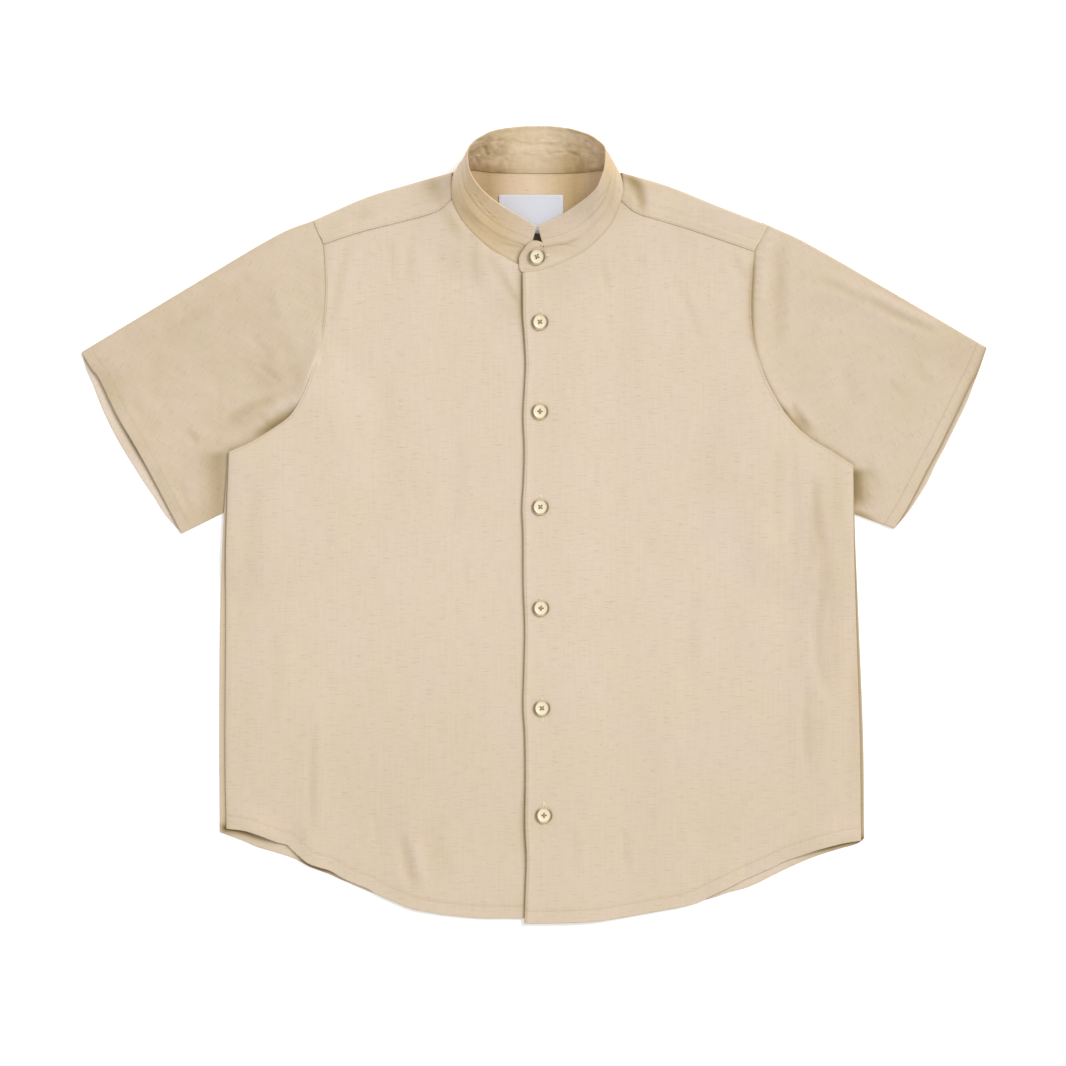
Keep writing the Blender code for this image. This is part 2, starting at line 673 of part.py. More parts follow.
def button_mesh(finish):
    """A four-hole button on its own origin, with a raised rim round a dished face."""
    rim = BUTTON_RADIUS - BUTTON_RIM
    profile = (
        (BUTTON_RADIUS - 1.4, 0.0),
        (BUTTON_RADIUS - 0.1, 0.8),
        (BUTTON_RADIUS, 1.7),
        (BUTTON_RADIUS - 0.5, BUTTON_DEPTH),
        (rim, BUTTON_DEPTH - 0.1),
        (rim - 0.7, BUTTON_DEPTH - 0.9),
    )
    points, faces = [], []
    for k in range(BUTTON_SIDES):
        angle = 2 * math.pi * k / BUTTON_SIDES
        points += [(r * math.cos(angle), r * math.sin(angle), z) for r, z in profile]
    n = len(profile)
    for k in range(BUTTON_SIDES):
        a, b = k * n, (k + 1) % BUTTON_SIDES * n
        faces += [(a + j, b + j, b + j + 1, a + j + 1) for j in range(n - 1)]
    faces.append([k * n for k in reversed(range(BUTTON_SIDES))])
    faces.append([k * n + n - 1 for k in range(BUTTON_SIDES)])
    blank = add_object("button_blank", points, faces, None, finish)
    cutters = []
    for turn in range(4):
        angle = math.radians(45 + 90 * turn)
        centre = [BUTTON_HOLE_SPACING / math.sqrt(2) * f(angle) for f in (math.cos, math.sin)]
        ring = []
        for z in (-1.0, BUTTON_DEPTH + 1.0):
            for k in range(6):
                around = math.radians(60 * k)
                x = centre[0] + BUTTON_HOLE_RADIUS * math.cos(around)
                ring.append((x, centre[1] + BUTTON_HOLE_RADIUS * math.sin(around), z))
        sides = [(k, (k + 1) % 6, (k + 1) % 6 + 6, k + 6) for k in range(6)]
        cutter = add_object("hole_cutter", ring, [*sides, (5, 4, 3, 2, 1, 0), (6, 7, 8, 9, 10, 11)], None, finish)
        cut = blank.modifiers.new("hole", "BOOLEAN")
        cut.operation = "DIFFERENCE"
        cut.object = cutter
        cutters.append(cutter)
    graph = bpy.context.evaluated_depsgraph_get()
    drilled = bpy.data.meshes.new_from_object(blank.evaluated_get(graph))
    for helper in (blank, *cutters):
        bpy.data.objects.remove(helper)
    return drilled


def add_button(name, mesh, x, y, seat, tilt, shirt):
    made = bpy.data.objects.new(name, mesh)
    bpy.context.scene.collection.objects.link(made)
    made.parent = shirt
    made.rotation_euler = (tilt, 0.0, 0.0)
    lift = seat + SEAM_GAP
    made.location = (
        x * TO_METRES,
        (y - lift * math.sin(tilt)) * TO_METRES,
        lift * math.cos(tilt) * TO_METRES if tilt == 0 else lift * TO_METRES,
    )
    return made


def buttons(shirt, finish):
    mesh = button_mesh(finish)
    slope = math.atan(TAB_SLOPE)
    tab_top = TAB_MID + TAB_SLOPE * (COLLAR_BUTTON_XY[1] - TAB_END[0].seam[1]) + COLLAR_CLOTH / 2 + 0.1
    add_button("button_1", mesh, *COLLAR_BUTTON_XY, tab_top, slope, shirt)
    for number, (x, y) in enumerate(BUTTONS_XY, start=2):
        reach = [(x + a * BUTTON_RADIUS, y + b * BUTTON_RADIUS) for a in (-1, 0, 1) for b in (-1, 0, 1)]
        seat = max(front_underside(*p, 1.0) for p in reach) + CLOTH
        add_button(f"button_{number}", mesh, x, y, seat, 0.0, shirt)


def main():
    for old in list(bpy.data.objects):
        bpy.data.objects.remove(old)
    shirt = bpy.data.objects.new("shirt", None)
    bpy.context.scene.collection.objects.link(shirt)
    linen = material("linen", LINEN, 0.9)
    collar_linen = material("collar_linen", COLLAR_LINEN, 0.9)
    back_panel(shirt, linen)
    yoke(shirt, linen)
    for side in ("right", "left"):
        front_panel(side, shirt, linen)
        sleeve(side, shirt, linen)
    collar_stand(shirt, collar_linen)
    collar_band(shirt, collar_linen)
    label("neck_label", LABEL_SIZE, LABEL_CENTRE, shirt, material("label", WOVEN_WHITE, 0.6))
    label("size_tab", SIZE_TAB_SIZE, SIZE_TAB_CENTRE, shirt, material("size_tab", WOVEN_BROWN, 0.7))
    buttons(shirt, material("button", BUTTON_IVORY, 0.35))


main()
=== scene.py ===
import math

import bpy
import numpy as np
from mathutils import Matrix, Vector
from mathutils.kdtree import KDTree


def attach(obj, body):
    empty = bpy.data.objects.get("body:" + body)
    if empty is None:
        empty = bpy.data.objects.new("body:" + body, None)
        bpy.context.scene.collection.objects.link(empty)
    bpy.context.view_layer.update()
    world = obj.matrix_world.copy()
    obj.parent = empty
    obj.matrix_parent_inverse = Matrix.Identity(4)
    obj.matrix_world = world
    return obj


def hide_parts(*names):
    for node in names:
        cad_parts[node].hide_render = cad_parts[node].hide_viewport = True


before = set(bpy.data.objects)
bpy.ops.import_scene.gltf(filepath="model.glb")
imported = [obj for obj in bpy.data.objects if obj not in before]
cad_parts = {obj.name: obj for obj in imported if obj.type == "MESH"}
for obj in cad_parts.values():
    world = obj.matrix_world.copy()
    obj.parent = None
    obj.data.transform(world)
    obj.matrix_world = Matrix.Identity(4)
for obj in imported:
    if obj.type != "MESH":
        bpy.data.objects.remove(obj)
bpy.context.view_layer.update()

mm = 0.001  # the tables below are in millimetres, like the cutting pattern
sides = ("right", "left")  # the wearer's right is at -X
perSpan = 14  # points of a smooth line between two of its given ones
lineEnd = -0.0001  # counted from the line's far end
scene = bpy.context.scene

# The camera looks straight down on the laid shirt, hem towards the viewer.
camera = {"centre": (-0.9, -7.9), "frameWidth": 991.4, "lens": 200.0, "sensor": 36.0, "clipEnd": 50.0}


def placed(name, data):
    made = bpy.data.objects.new(name, data)
    scene.collection.objects.link(made)
    return made


def makeCamera():
    data = bpy.data.cameras.new("camera")
    data.lens = camera["lens"]
    data.sensor_width = camera["sensor"]
    data.clip_end = camera["clipEnd"]
    away = camera["frameWidth"] * camera["lens"] / camera["sensor"]
    scene.camera = placed("camera", data)
    scene.camera.location = [c * mm for c in (*camera["centre"], away)]


makeCamera()
print("camera over the table")

# How the layers of the laid shirt lie on each other.
layers = {
    "wall": 1.2,  # from one face of a layer to the other, where it is lined or turned
    "gap": 0.3,
    "loft": 1.2,  # air between back and front
    "lapRise": 2.0,  # the left front lies on the right one
    "lapFade": (28, 57),  # from this X it comes down again over this width
    "edgeFade": 32,
    "hemFade": 22,
    "sleeveTop": 3.6,
    "tuckedTop": 3.0,  # the sleeve under the body
    "cornerLift": 3.3,
    "cornerExtra": 1.25,
    "cornerReach": (88, 52),
    "cornerCentre": {"right": (-268, 62), "left": (281, 50)},
    "neckLift": 5.5,
    "neckCentre": (2.8, 300),
    "neckRadii": (79, 62),
    "neckFade": 0.6,
    "foldShare": 0.62,  # of the solid's fold heights
}

# The seams and edges of the body, each as the points that a smooth line runs through.
bodyCut = {
    "armhole": {
        "right": (
            (-205.5, 282.3), (-200, 269.5), (-196, 260.6), (-194, 232), (-194.3, 205), (-197.5, 178),
            (-204, 150), (-213.5, 123), (-226, 102), (-244.5, 88), (-263.5, 76.5), (-283.5, 67.4),
        ),
        "left": (
            (217.6, 278.1), (210.5, 264.5), (205, 253.9), (203.5, 232), (202.2, 206), (203.4, 180),
            (208.5, 156), (217.2, 131.5), (233.5, 103.5), (253.5, 82.5), (276, 68.5), (296.3, 55.3),
        ),
    },
    "shoulderFold": {
        "right": ((-205.5, 282.3), (-157.2, 303.6), (-112, 317.5), (-76.8, 327)),
        "left": ((217.6, 278.1), (173, 295.3), (125, 314.5), (82.3, 326.8)),
    },
    "yokeSeam": {
        "right": ((-196, 260.6), (-161.2, 272), (-120, 282.3), (-91, 290.8)),
        "left": ((205, 253.9), (148.8, 273), (115, 283.2), (95, 289.5)),
    },
    "frontSide": {
        "right": ((-286, -282.5), (-287, -215), (-286.5, -100), (-286.2, -20), (-283.5, 67.4)),
        "left": ((304, -293.5), (302.8, -200), (299.5, -95), (297.2, -20), (296.3, 55.3)),
    },
    "backSide": {
        "right": ((-291.7, -285.7), (-292.3, -200), (-291.6, -90), (-289, -10), (-283.9, 67.6)),
        "left": ((306.9, -291.6), (306, -200), (301.7, -90), (298.4, -15), (296.7, 55.6)),
    },
    "frontHem": {
        "right": (
            (-286.8, -282.3), (-270.6, -284.1), (-258.5, -287.8), (-243.7, -293.4), (-236.5, -296),
            (-230.6, -297.3), (-226, -301.6), (-218.6, -308.3), (-210.2, -314.8), (-200, -318.5),
            (-190, -321.6), (-179.5, -327.8), (-168, -333.4), (-156.5, -337.6), (-145.1, -344.4),
            (-129.3, -351.1), (-113.5, -357.4), (-93, -361.3), (-79, -363.4), (-50, -366), (-24, -366.2),
            (22, -366.6),
        ),
        "left": (
            (303.6, -293.2), (285.5, -296.2), (264.1, -301.6), (252, -305.8), (234.4, -312), (221.3, -318.5),
            (206.5, -325), (196.2, -329.5), (179.5, -337.8), (163.7, -345.3), (153.5, -350.6),
            (136.7, -355.4), (123.7, -357.8), (93.9, -363.2), (72.5, -366.9), (51.2, -369.4), (18.6, -370.5),
            (-8.6, -370.7),
        ),
    },
    "backHem": (
        (-291.7, -285.7), (-270.6, -293.4), (-258.5, -298.8), (-243.7, -303.2), (-229.7, -307.4),
        (-219.5, -311.4), (-210.2, -317), (-198.1, -321.6), (-187, -325.6), (-176, -330.8), (-120, -350),
        (2.8, -363), (125, -354), (163.7, -346.6), (179.5, -341.2), (196.2, -336.8), (211.1, -330.6),
        (221.3, -325.2), (242.7, -314.9), (264.1, -306.2), (285.5, -299.5), (300, -295.4), (306.9, -290.5),
    ),
    "placketEdge": (
        (-8.6, -370.4), (-7.4, -336), (-6.6, -310), (-7.9, -280), (-7.5, -235), (-8, -195), (-9.6, -168),
        (-8.6, -130), (-8, -95), (-9.4, -55), (-9.6, -10), (-10.6, 15), (-9.2, 40), (-8.4, 70), (-9.6, 100),
        (-8.2, 128), (-7.3, 150), (-8.6, 176), (-10, 195), (-10.2, 215), (-10.4, 233.6),
    ),
    "underlapEdge": ((22, -366), (22, 234.9)),
    "yokePoint": 2,  # of the armhole, where the yoke's front seam starts
    "backYokePoint": 3,
    "tuckPoint": 8,  # from here on the body lies on the sleeve
    "thickness": 0.7,
    "hemWidth": 12.0,
    "backHemWidth": 10.0,
    "facingWidth": {"right": 38, "left": 34},
    "edgeThickness": 1.2,
    "allowance": (0.9, 3.5, 6.5),
    "step": 2.6,
    "backStep": 4.2,
    # Where the front's hem lifts off the back: X of the centre, half width and height.
    "hemLift": {
        "right": ((-260, 30, 3.4), (-204, 20, 1.8), (-100, 40, 0.4)),
        "left": ((268, 38, 3), (178, 24, 1.4), (60, 50, 0.3)),
    },
    # How strong the painted shadow beside the lap's edge is at each height, and the painted shade on the back
    # along the front's hem at each X, where a negative value paints light.
    "lapShade": (
        (-370, 0.7), (-340, 0.8), (-300, 1.15), (-262, 1.2), (-240, 0.9), (-200, 0.68), (-110, 0.6),
        (-60, 0.68), (0, 0.7), (60, 0.6), (110, 0.72), (150, 0.75), (184, 1.2), (204, 1.5), (222, 1.4),
        (236, 1.2),
    ),
    "hemShade": {
        "right": (
            (-288, 0.85), (-270, 0.76), (-252, 0.44), (-238, 0), (-222, 0), (-213, 0.7), (-195, 0.76),
            (-182, 0.36), (-164, -0.05), (-100, 0),
        ),
        "left": (
            (100, 0.1), (142, 0.45), (160, 0.1), (172, -0.1), (200, -0.14), (246, -0.1), (262, 0.3),
            (276, 0.8), (304, 0.85),
        ),
    },
}

# Broad soft folds: from X and Y, to X and Y, half width and height.
broadFolds = (
    (268, 45, 262, -215, 34, 2.6), (212, 60, 206, -120, 30, 1.4), (-176, 262, -182, 180, 26, 1.6),
    (-118, -250, -112, -350, 30, 2), (-205, -160, -201, -300, 28, 1.4), (110, 240, 96, 90, 30, 1.4),
    (-110, 235, -122, 40, 32, 1.2), (120, -150, 128, -330, 32, 1.2), (262, 226, 380, 172, 26, 2.6),
    (-245, 225, -330, 160, 30, 1.6), (-240, 130, -330, 80, 30, 2), (262, 120, 345, 70, 30, 1.6),
)
# Creases: from, to, sideways bow of the middle, half width, and depth (a trough is negative).
bodyCreases = (
    (-170, 265, -187, 190, 3, 4.5, -0.5), (-133, 265, -131, 224, 1, 3.2, -0.36),
    (-119, 262, -118, 220, -1, 3, -0.26), (-55, 274, -55, 221, 2, 4.6, -0.45),
    (-44, 252, -15, 203, 2, 3.6, -0.5), (-31, 238, -17, 207, 1, 2.6, -0.42),
    (-64, -28, -64, -58, 0, 3, -0.3), (-205, -190, -205, -287, 2, 3, -0.55),
    (-123, -286, -108, -341, 2, 4.8, -0.85), (-108, -294, -102, -332, 0, 6, 0.4),
    (-148, -268, -145, -302, 0, 3, -0.34), (-94, -284, -79, -326, 0, 6, -0.32),
    (63, 246, 70, 212, 1, 3.2, -0.38), (99, 251, 99, 237, 0, 4.6, -0.32),
    (131, 226, 153, 168, -3, 4.6, -0.38), (185, 251, 197, 227, 2, 4.6, -0.42),
    (227, 74, 228, -32, 2, 4.6, -0.28), (240, 69, 241, -66, -2, 5, -0.3), (262, 45, 268, -22, 3, 4.6, -0.7),
    (268, -14, 263, -88, -3, 4.4, -0.72), (264, -80, 272, -156, 4, 4.2, -0.72),
    (277, 20, 279, -120, -3, 6, 0.45), (254, -154, 254, -228, 2, 3.8, -0.55),
    (85, -288, 87, -321, 1, 3.6, -0.48), (38, -282, 38, -325, 0, 5, -0.32),
    (-258, 40, -262, -60, 3, 7, -0.35), (-241, -90, -246, -190, -3, 6, -0.3),
    (150, -60, 147, -150, 3, 7, -0.28), (-70, 90, -76, -10, -3, 7, -0.28),
    (87, 325, 101, 292, -3.5, 4, -1.3), (-98, 314, -84, 298, 0, 6, -0.8),
    (-152, 290, -170, 283, 0, 5, -0.35), (150, 292, 172, 284, 1, 4.5, -0.3),
)
# Places where the cloth is crumpled: centre, radii and depth.
crumples = (
    (-246, 200, 17, 24, 0.75), (-236, 147, 24, 30, 0.8), (-262, 120, 30, 24, 0.45), (-332, 30, 22, 30, 0.45),
    (-395, 126, 16, 18, 0.4), (-318, 82, 16, 14, 0.5), (-300, 40, 24, 34, 0.45), (248, 97, 16, 16, 1),
    (306, 28, 16, 30, 0.9), (228, 215, 12, 44, 0.35), (330, 190, 60, 16, 0.3), (262, -50, 22, 90, 0.55),
    (258, -190, 20, 50, 0.35), (-112, -318, 22, 26, 0.35), (-250, -150, 34, 120, 0.16),
)
# Painted shade in hollows that are too wide to be creases, where a negative amount paints light: centre,
# radii, turn in degrees, and amount.
bodyShades = (
    (288, -295, 13, 4.5, 15, 0.07), (-252, -289, 13, 4.5, -20, 0.05), (207, 213, 5.5, 34, 1, 0.12),
    (262, 2, 9, 36, 0, 0.05), (268, -70, 10, 60, 0, 0.04), (262, -190, 9, 45, 0, 0.035),
    (89, 321, 13, 6, -32, 0.33), (152, 280, 56, 7, -17, 0.05), (96, 312, 6, 9, 22, 0.2),
    (100, 300, 4.2, 12, 12, 0.2), (106, 316, 15, 8, -22, 0.08), (97, 300, 14, 16, 0, 0.06),
    (-76, 280, 6, 18, 33, 0.15), (-94, 318, 9, 7, 15, 0.18), (-52, 244, 10, 15, 0, 0.05),
    (-24, 204, 17, 15, 0, 0.06), (24, 226, 20, 18, 0, 0.03), (-112, 238, 8, 26, 0, 0.03),
    (299.5, -150, 5, 75, 0, 0.07), (-96, -306, 8, 26, 8, 0.05), (-93, 264, 20, 27, 15, -0.055),
    (-196, 152, 9, 15, 0, 0.05), (281, -48, 8.5, 108, 0, 0.12), (261, -14, 7, 32, 0, 0.05),
    (181, -5, 18, 54, 12, -0.035), (244, -53, 6, 18, 0, -0.04), (225, 50, 24, 40, 0, 0.03),
    (-140, -235, 95, 110, 0, 0.025), (-170, 5, 55, 110, 0, 0.02), (-94, 309, 12, 15, 15, 0.13),
    (-160, 288, 16, 9, 20, 0.04), (-116, -318, 7, 22, 14, 0.045), (-205, -235, 7, 45, 0, 0.03),
    (-26, 222, 7, 24, 28, 0.02), (-262, -60, 26, 180, 0, 0.018), (86, 308, 11, 17, 0, 0.1),
    (75, 289, 8, 12, 0, 0.05), (-188, 272, 12, 12, 0, 0.05), (269, 22, 14, 46, 0, 0.03),
    (276, -122, 6, 32, 0, 0.035),
)


def ease(value, start=0.0, width=1.0):
    # A soft step from 0 to 1 over this width.
    share = np.clip((value - start) / width, 0.0, 1.0)
    return share * share * (3 - 2 * share)


def window(value, start, width, end, endWidth):
    return ease(value, start, width) * (1 - ease(value, end, endWidth))


def bell(off, width, power=2):
    return np.exp(-((off / width) ** power))


def fade(off, reach):
    return np.exp(-off / reach)


def smoothLine(points):
    # Catmull-Rom through the points, of any number of columns.
    p = np.asarray(points, float)
    t = np.linspace(0, 1, perSpan + 1)[1:, None]
    if len(p) == 2:
        return np.vstack([p[:1], p[0] + (p[1] - p[0]) * t])
    hull = np.vstack([2 * p[0] - p[1], p, 2 * p[-1] - p[-2]])
    spans = [p[:1]]
    for a, b, c, d in zip(hull, hull[1:], hull[2:], hull[3:]):
        curve = 2 * b + (c - a) * t + (2 * a - 5 * b + 4 * c - d) * t**2 + (3 * b - a - 3 * c + d) * t**3
        spans.append(0.5 * curve)
    return np.vstack(spans)


def lengths(line):
    return np.concatenate([[0.0], np.cumsum(np.linalg.norm(np.diff(line, axis=0), axis=1))])


def shares(line):
    total = lengths(line)
    return total / total[-1]


def pick(line, wanted):
    # Points at these shares of the way along the line.
    along = shares(line)
    return np.stack([np.interp(wanted, along, column) for column in line.T], axis=1)


def stepShares(length, step, near=()):
    # Shares of a line at even steps, closer together round the places that ask for it.
    s = np.linspace(0, length, 1500)
    size = np.full_like(s, step)
    for place, fine in near:
        size = np.minimum(size, fine + 0.2 * abs(s - (place if place >= 0 else length + place + 0.001)))
    count = np.concatenate([[0.0], np.cumsum(np.diff(s) * 2 / (size[1:] + size[:-1]))])
    number = max(2, math.ceil(count[-1]))
    return np.interp(np.linspace(0, count[-1], number + 1), count, s) / length


def stepped(line, step, near=()):
    return pick(line, stepShares(lengths(line)[-1], step, near))


def patch(low, high, first, last):
    # A grid of plan points that fills four edges: low and high run along a row, first and last up the rows.
    u = ((shares(low) + shares(high)) / 2)[None, :, None]
    v = ((shares(first) + shares(last)) / 2)[:, None, None]
    between = low[None] * (1 - v) + high[None] * v + first[:, None] * (1 - u) + last[:, None] * u
    corners = (low[0] * (1 - u) + low[-1] * u) * (1 - v) + (high[0] * (1 - u) + high[-1] * u) * v
    return between - corners


def planTree(points):
    tree = KDTree(len(points))
    for index, point in enumerate(points):
        tree.insert((point[0], point[1], 0.0), index)
    tree.balance()
    return tree


def distanceTo(points, *lines):
    # How far each plan point is from the nearest of these lines.
    flat = points.reshape(-1, points.shape[-1])
    found = []
    for line in lines:
        tree = planTree(pick(line, np.linspace(0, 1, int(lengths(line)[-1] / 0.4) + 2)))
        found.append([tree.find((x, y, 0.0))[2] for x, y in flat[:, :2]])
    return np.min(found, axis=0).reshape(points.shape[:-1])


def outwards(line):
    # The unit direction to the left of a plan line at each of its points.
    way = np.gradient(line, axis=0)
    way /= np.linalg.norm(way, axis=1, keepdims=True)
    return np.stack([-way[:, 1], way[:, 0]], axis=1)


def softNoise(x, y, size, seed):
    # Smooth values from -1 to 1 that change over about this size.
    cells = np.random.default_rng(seed).uniform(-1, 1, (64, 64))
    u, v = x / size + 1000.3, y / size + 1000.7
    i, j = np.floor(u).astype(int), np.floor(v).astype(int)
    s, t = ease(u - i), ease(v - j)
    low, high = (
        cells[i % 64, row % 64] * (1 - s) + cells[(i + 1) % 64, row % 64] * s for row in (j, j + 1)
    )
    return low * (1 - t) + high * t


def cornerShare(x, y):
    # 1 round each underarm, where the body lies on the sleeve.
    near = np.minimum(*[np.hypot(x - c[0], y - c[1]) for c in layers["cornerCentre"].values()])
    return 1 - ease(near, *layers["cornerReach"])


def neckLift(x, y):
    across = (x - layers["neckCentre"][0]) / layers["neckRadii"][0]
    up = (y - layers["neckCentre"][1]) / layers["neckRadii"][1]
    reach = np.maximum(np.hypot(across, up), 1e-6)
    return layers["neckLift"] * np.minimum(abs(across) / reach, 1) * (1 - ease(reach, 1, layers["neckFade"]))


def along(x, y, x0, y0, x1, y1):
    # How far on and off a straight line each point is, and the line's length.
    length = math.hypot(x1 - x0, y1 - y0)
    on = ((x - x0) * (x1 - x0) + (y - y0) * (y1 - y0)) / length
    return on, ((x - x0) * (y1 - y0) - (y - y0) * (x1 - x0)) / length, length


def foldHeight(x, y):
    height = np.zeros_like(x)
    for *ends, w, rise in broadFolds:
        on, off, length = along(x, y, *ends)
        height += rise * ease(on, -w, 2 * w) * ease(length - on, -w, 2 * w) * (1 - ease(abs(off) / w))
    return height * layers["foldShare"]


def creaseHeight(x, y, creases):
    # Each crease narrows and fades to its ends, with a low lip on both sides.
    height = np.zeros_like(x)
    for *ends, bow, halfWidth, depth in creases:
        on, off, length = along(x, y, *ends)
        on = on / length
        r = (off - bow * (1 - (2 * on - 1) ** 2)) / halfWidth
        height += depth * bell(on - 0.5, 0.46, 6) * (bell(r, 1) - 0.22 * bell(abs(r) - 2.1, 1))
    return height


def crumpleHeight(x, y):
    height = np.zeros_like(x)
    for cx, cy, rx, ry, depth in crumples:
        height += depth * (1 - ease(np.hypot((x - cx) / rx, (y - cy) / ry) / 1.25))
    return height * (abs(softNoise(x, y * 0.8, 13.0, 7)) + 0.5 * abs(softNoise(x, y * 0.8, 7.0, 8)) - 0.5)


def unevenness(x, y):
    # The slight waviness of pressed linen: long waves down the cloth and a little of everything.
    long = softNoise(x, y * 0.35, 34.0, 3) * 0.16 + softNoise(x, y * 0.2, 15.0, 4) * 0.05
    return long + softNoise(x, y, 60.0, 5) * 0.22 + softNoise(x, y, 11.0, 6) * 0.025


def bodyRelief(x, y):
    return creaseHeight(x, y, bodyCreases) * 1.25 + crumpleHeight(x, y) + unevenness(x, y)


def shadeTone(x, y, creases, shades, strength=1.0):
    # Painted shade and light: the bottom of a crease is painted darker than the open cloth, its lips a little
    # lighter as a painted highlight, and hollows are painted dark.
    sharp = np.clip(creaseHeight(x, y, creases), -1.2, 0.45)
    tone = 1 + strength * (0.085 * sharp + 0.06 * np.clip(crumpleHeight(x, y), -0.8, 0.5))
    for cx, cy, rx, ry, turn, amount in shades:
        c, s = math.cos(math.radians(turn)), math.sin(math.radians(turn))
        dx, dy = x - cx, y - cy
        tone = tone * (1 - amount * bell(np.hypot((dx * c + dy * s) / rx, (dy * c - dx * s) / ry), 1, 2.4))
    return tone


def frontTop(x, y, lap=0.0, edge=1.0):
    # The height of the front's upper face.
    rise = layers["cornerLift"] * layers["cornerExtra"] * cornerShare(x, y)
    lapped = lap * layers["lapRise"] * (1 - ease(x, *layers["lapFade"]))
    air = (layers["loft"] - layers["gap"] + foldHeight(x, y)) * edge
    return 2 * layers["wall"] + layers["gap"] + rise + air + neckLift(x, y) + lapped


def gridQuads(rows, columns):
    a = (np.arange(rows - 1)[:, None] * columns + np.arange(columns - 1)[None]).reshape(-1)
    return np.stack([a, a + 1, a + columns + 1, a + columns], axis=1)


def normals(points, quads):
    face = np.cross(points[quads[:, 2]] - points[quads[:, 0]], points[quads[:, 3]] - points[quads[:, 1]])
    total = np.zeros_like(points)
    for k in range(4):
        np.add.at(total, quads[:, k], face)
    return total / np.maximum(np.linalg.norm(total, axis=1, keepdims=True), 1e-12)


def edgesOf(quads):
    # The directed edges that belong to one face only.
    pairs = np.concatenate([quads[:, [k, (k + 1) % 4]] for k in range(4)]).tolist()
    known = {(a, b) for a, b in pairs}
    return np.array([(a, b) for a, b in pairs if (b, a) not in known])


def clothShell(name, points, quads, thickness, tone=1.0, inside=None, warm=0.0, plan=None, slot="linen"):
    # A closed cloth wall: the given face's points, a second face under them, and a rounded rim.
    points = np.reshape(points, (-1, 3))
    count = len(points)
    plan = points[:, :2] if plan is None else plan
    inside = tone if inside is None else inside
    each = [np.broadcast_to(np.ravel(value), count) for value in (thickness, tone, warm, inside)]
    thickness, tone, warm, inside = each
    normal = normals(points, quads)
    inner = points - normal * thickness[:, None]
    rim = edgesOf(quads)
    a, b = rim[:, 0], rim[:, 1]
    way = np.zeros_like(points)
    run = points[b] - points[a]
    np.add.at(way, a, run)
    np.add.at(way, b, run)
    out = np.cross(way, normal)
    out /= np.maximum(np.linalg.norm(out, axis=1, keepdims=True), 1e-12)
    onRim = np.unique(rim)
    middle = (points + inner)[onRim] / 2 + out[onRim] * thickness[onRim, None] * 0.42
    place = np.full(count, -1)
    place[onRim] = 2 * count + np.arange(len(onRim))
    wallQuads = [(b, a, place[a], place[b]), (place[b], place[a], a + count, b + count)]
    allQuads = np.vstack([quads, quads[:, ::-1] + count, *(np.stack(w, axis=1) for w in wallQuads)])
    allTone = np.concatenate([tone, inside, ((tone + inside) / 2)[onRim]])
    allWarm = np.concatenate([warm, warm, warm[onRim]])
    # The tone is painted shade and painted light with some random tone. Painted shade goes warmer as it goes
    # darker, because its light comes off more linen.
    paintedShadeAndTone = np.stack([allTone**0.85 * (1 + 0.4 * allWarm), allTone, allTone**1.5 * (1 - allWarm)], axis=1)

    mesh = bpy.data.meshes.new(name + "_worn")
    mesh.from_pydata((np.vstack([points, inner, middle]) * mm).tolist(), [], allQuads.tolist())
    mesh.shade_smooth()
    corner = np.zeros(len(mesh.loops), np.int32)
    mesh.loops.foreach_get("vertex_index", corner)
    cloth = (np.vstack([plan, plan, plan[onRim]])[corner] * mm).astype(np.float32)
    mesh.uv_layers.new(name="cloth").uv.foreach_set("vector", cloth.ravel())
    paintedShadeLayer = mesh.attributes.new("paintedShadeAndTone", "FLOAT_VECTOR", "POINT")
    paintedShadeLayer.data.foreach_set("vector", paintedShadeAndTone.astype(np.float32).ravel())
    mesh.materials.append(finishes[slot])
    made = placed(name + "_worn", mesh)
    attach(made, "root")
    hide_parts(name)
    return made


def addNode(tree, kind, inputs=(), **settings):
    # A node with its settings and its inputs, in order or by name: each a value or another node's output.
    made = tree.nodes.new(kind)
    for key, value in settings.items():
        setattr(made, key, value)
    for place, value in inputs.items() if isinstance(inputs, dict) else enumerate(inputs):
        if isinstance(value, bpy.types.NodeSocket):
            tree.links.new(value, made.inputs[place])
        else:
            made.inputs[place].default_value = value
    return made.outputs


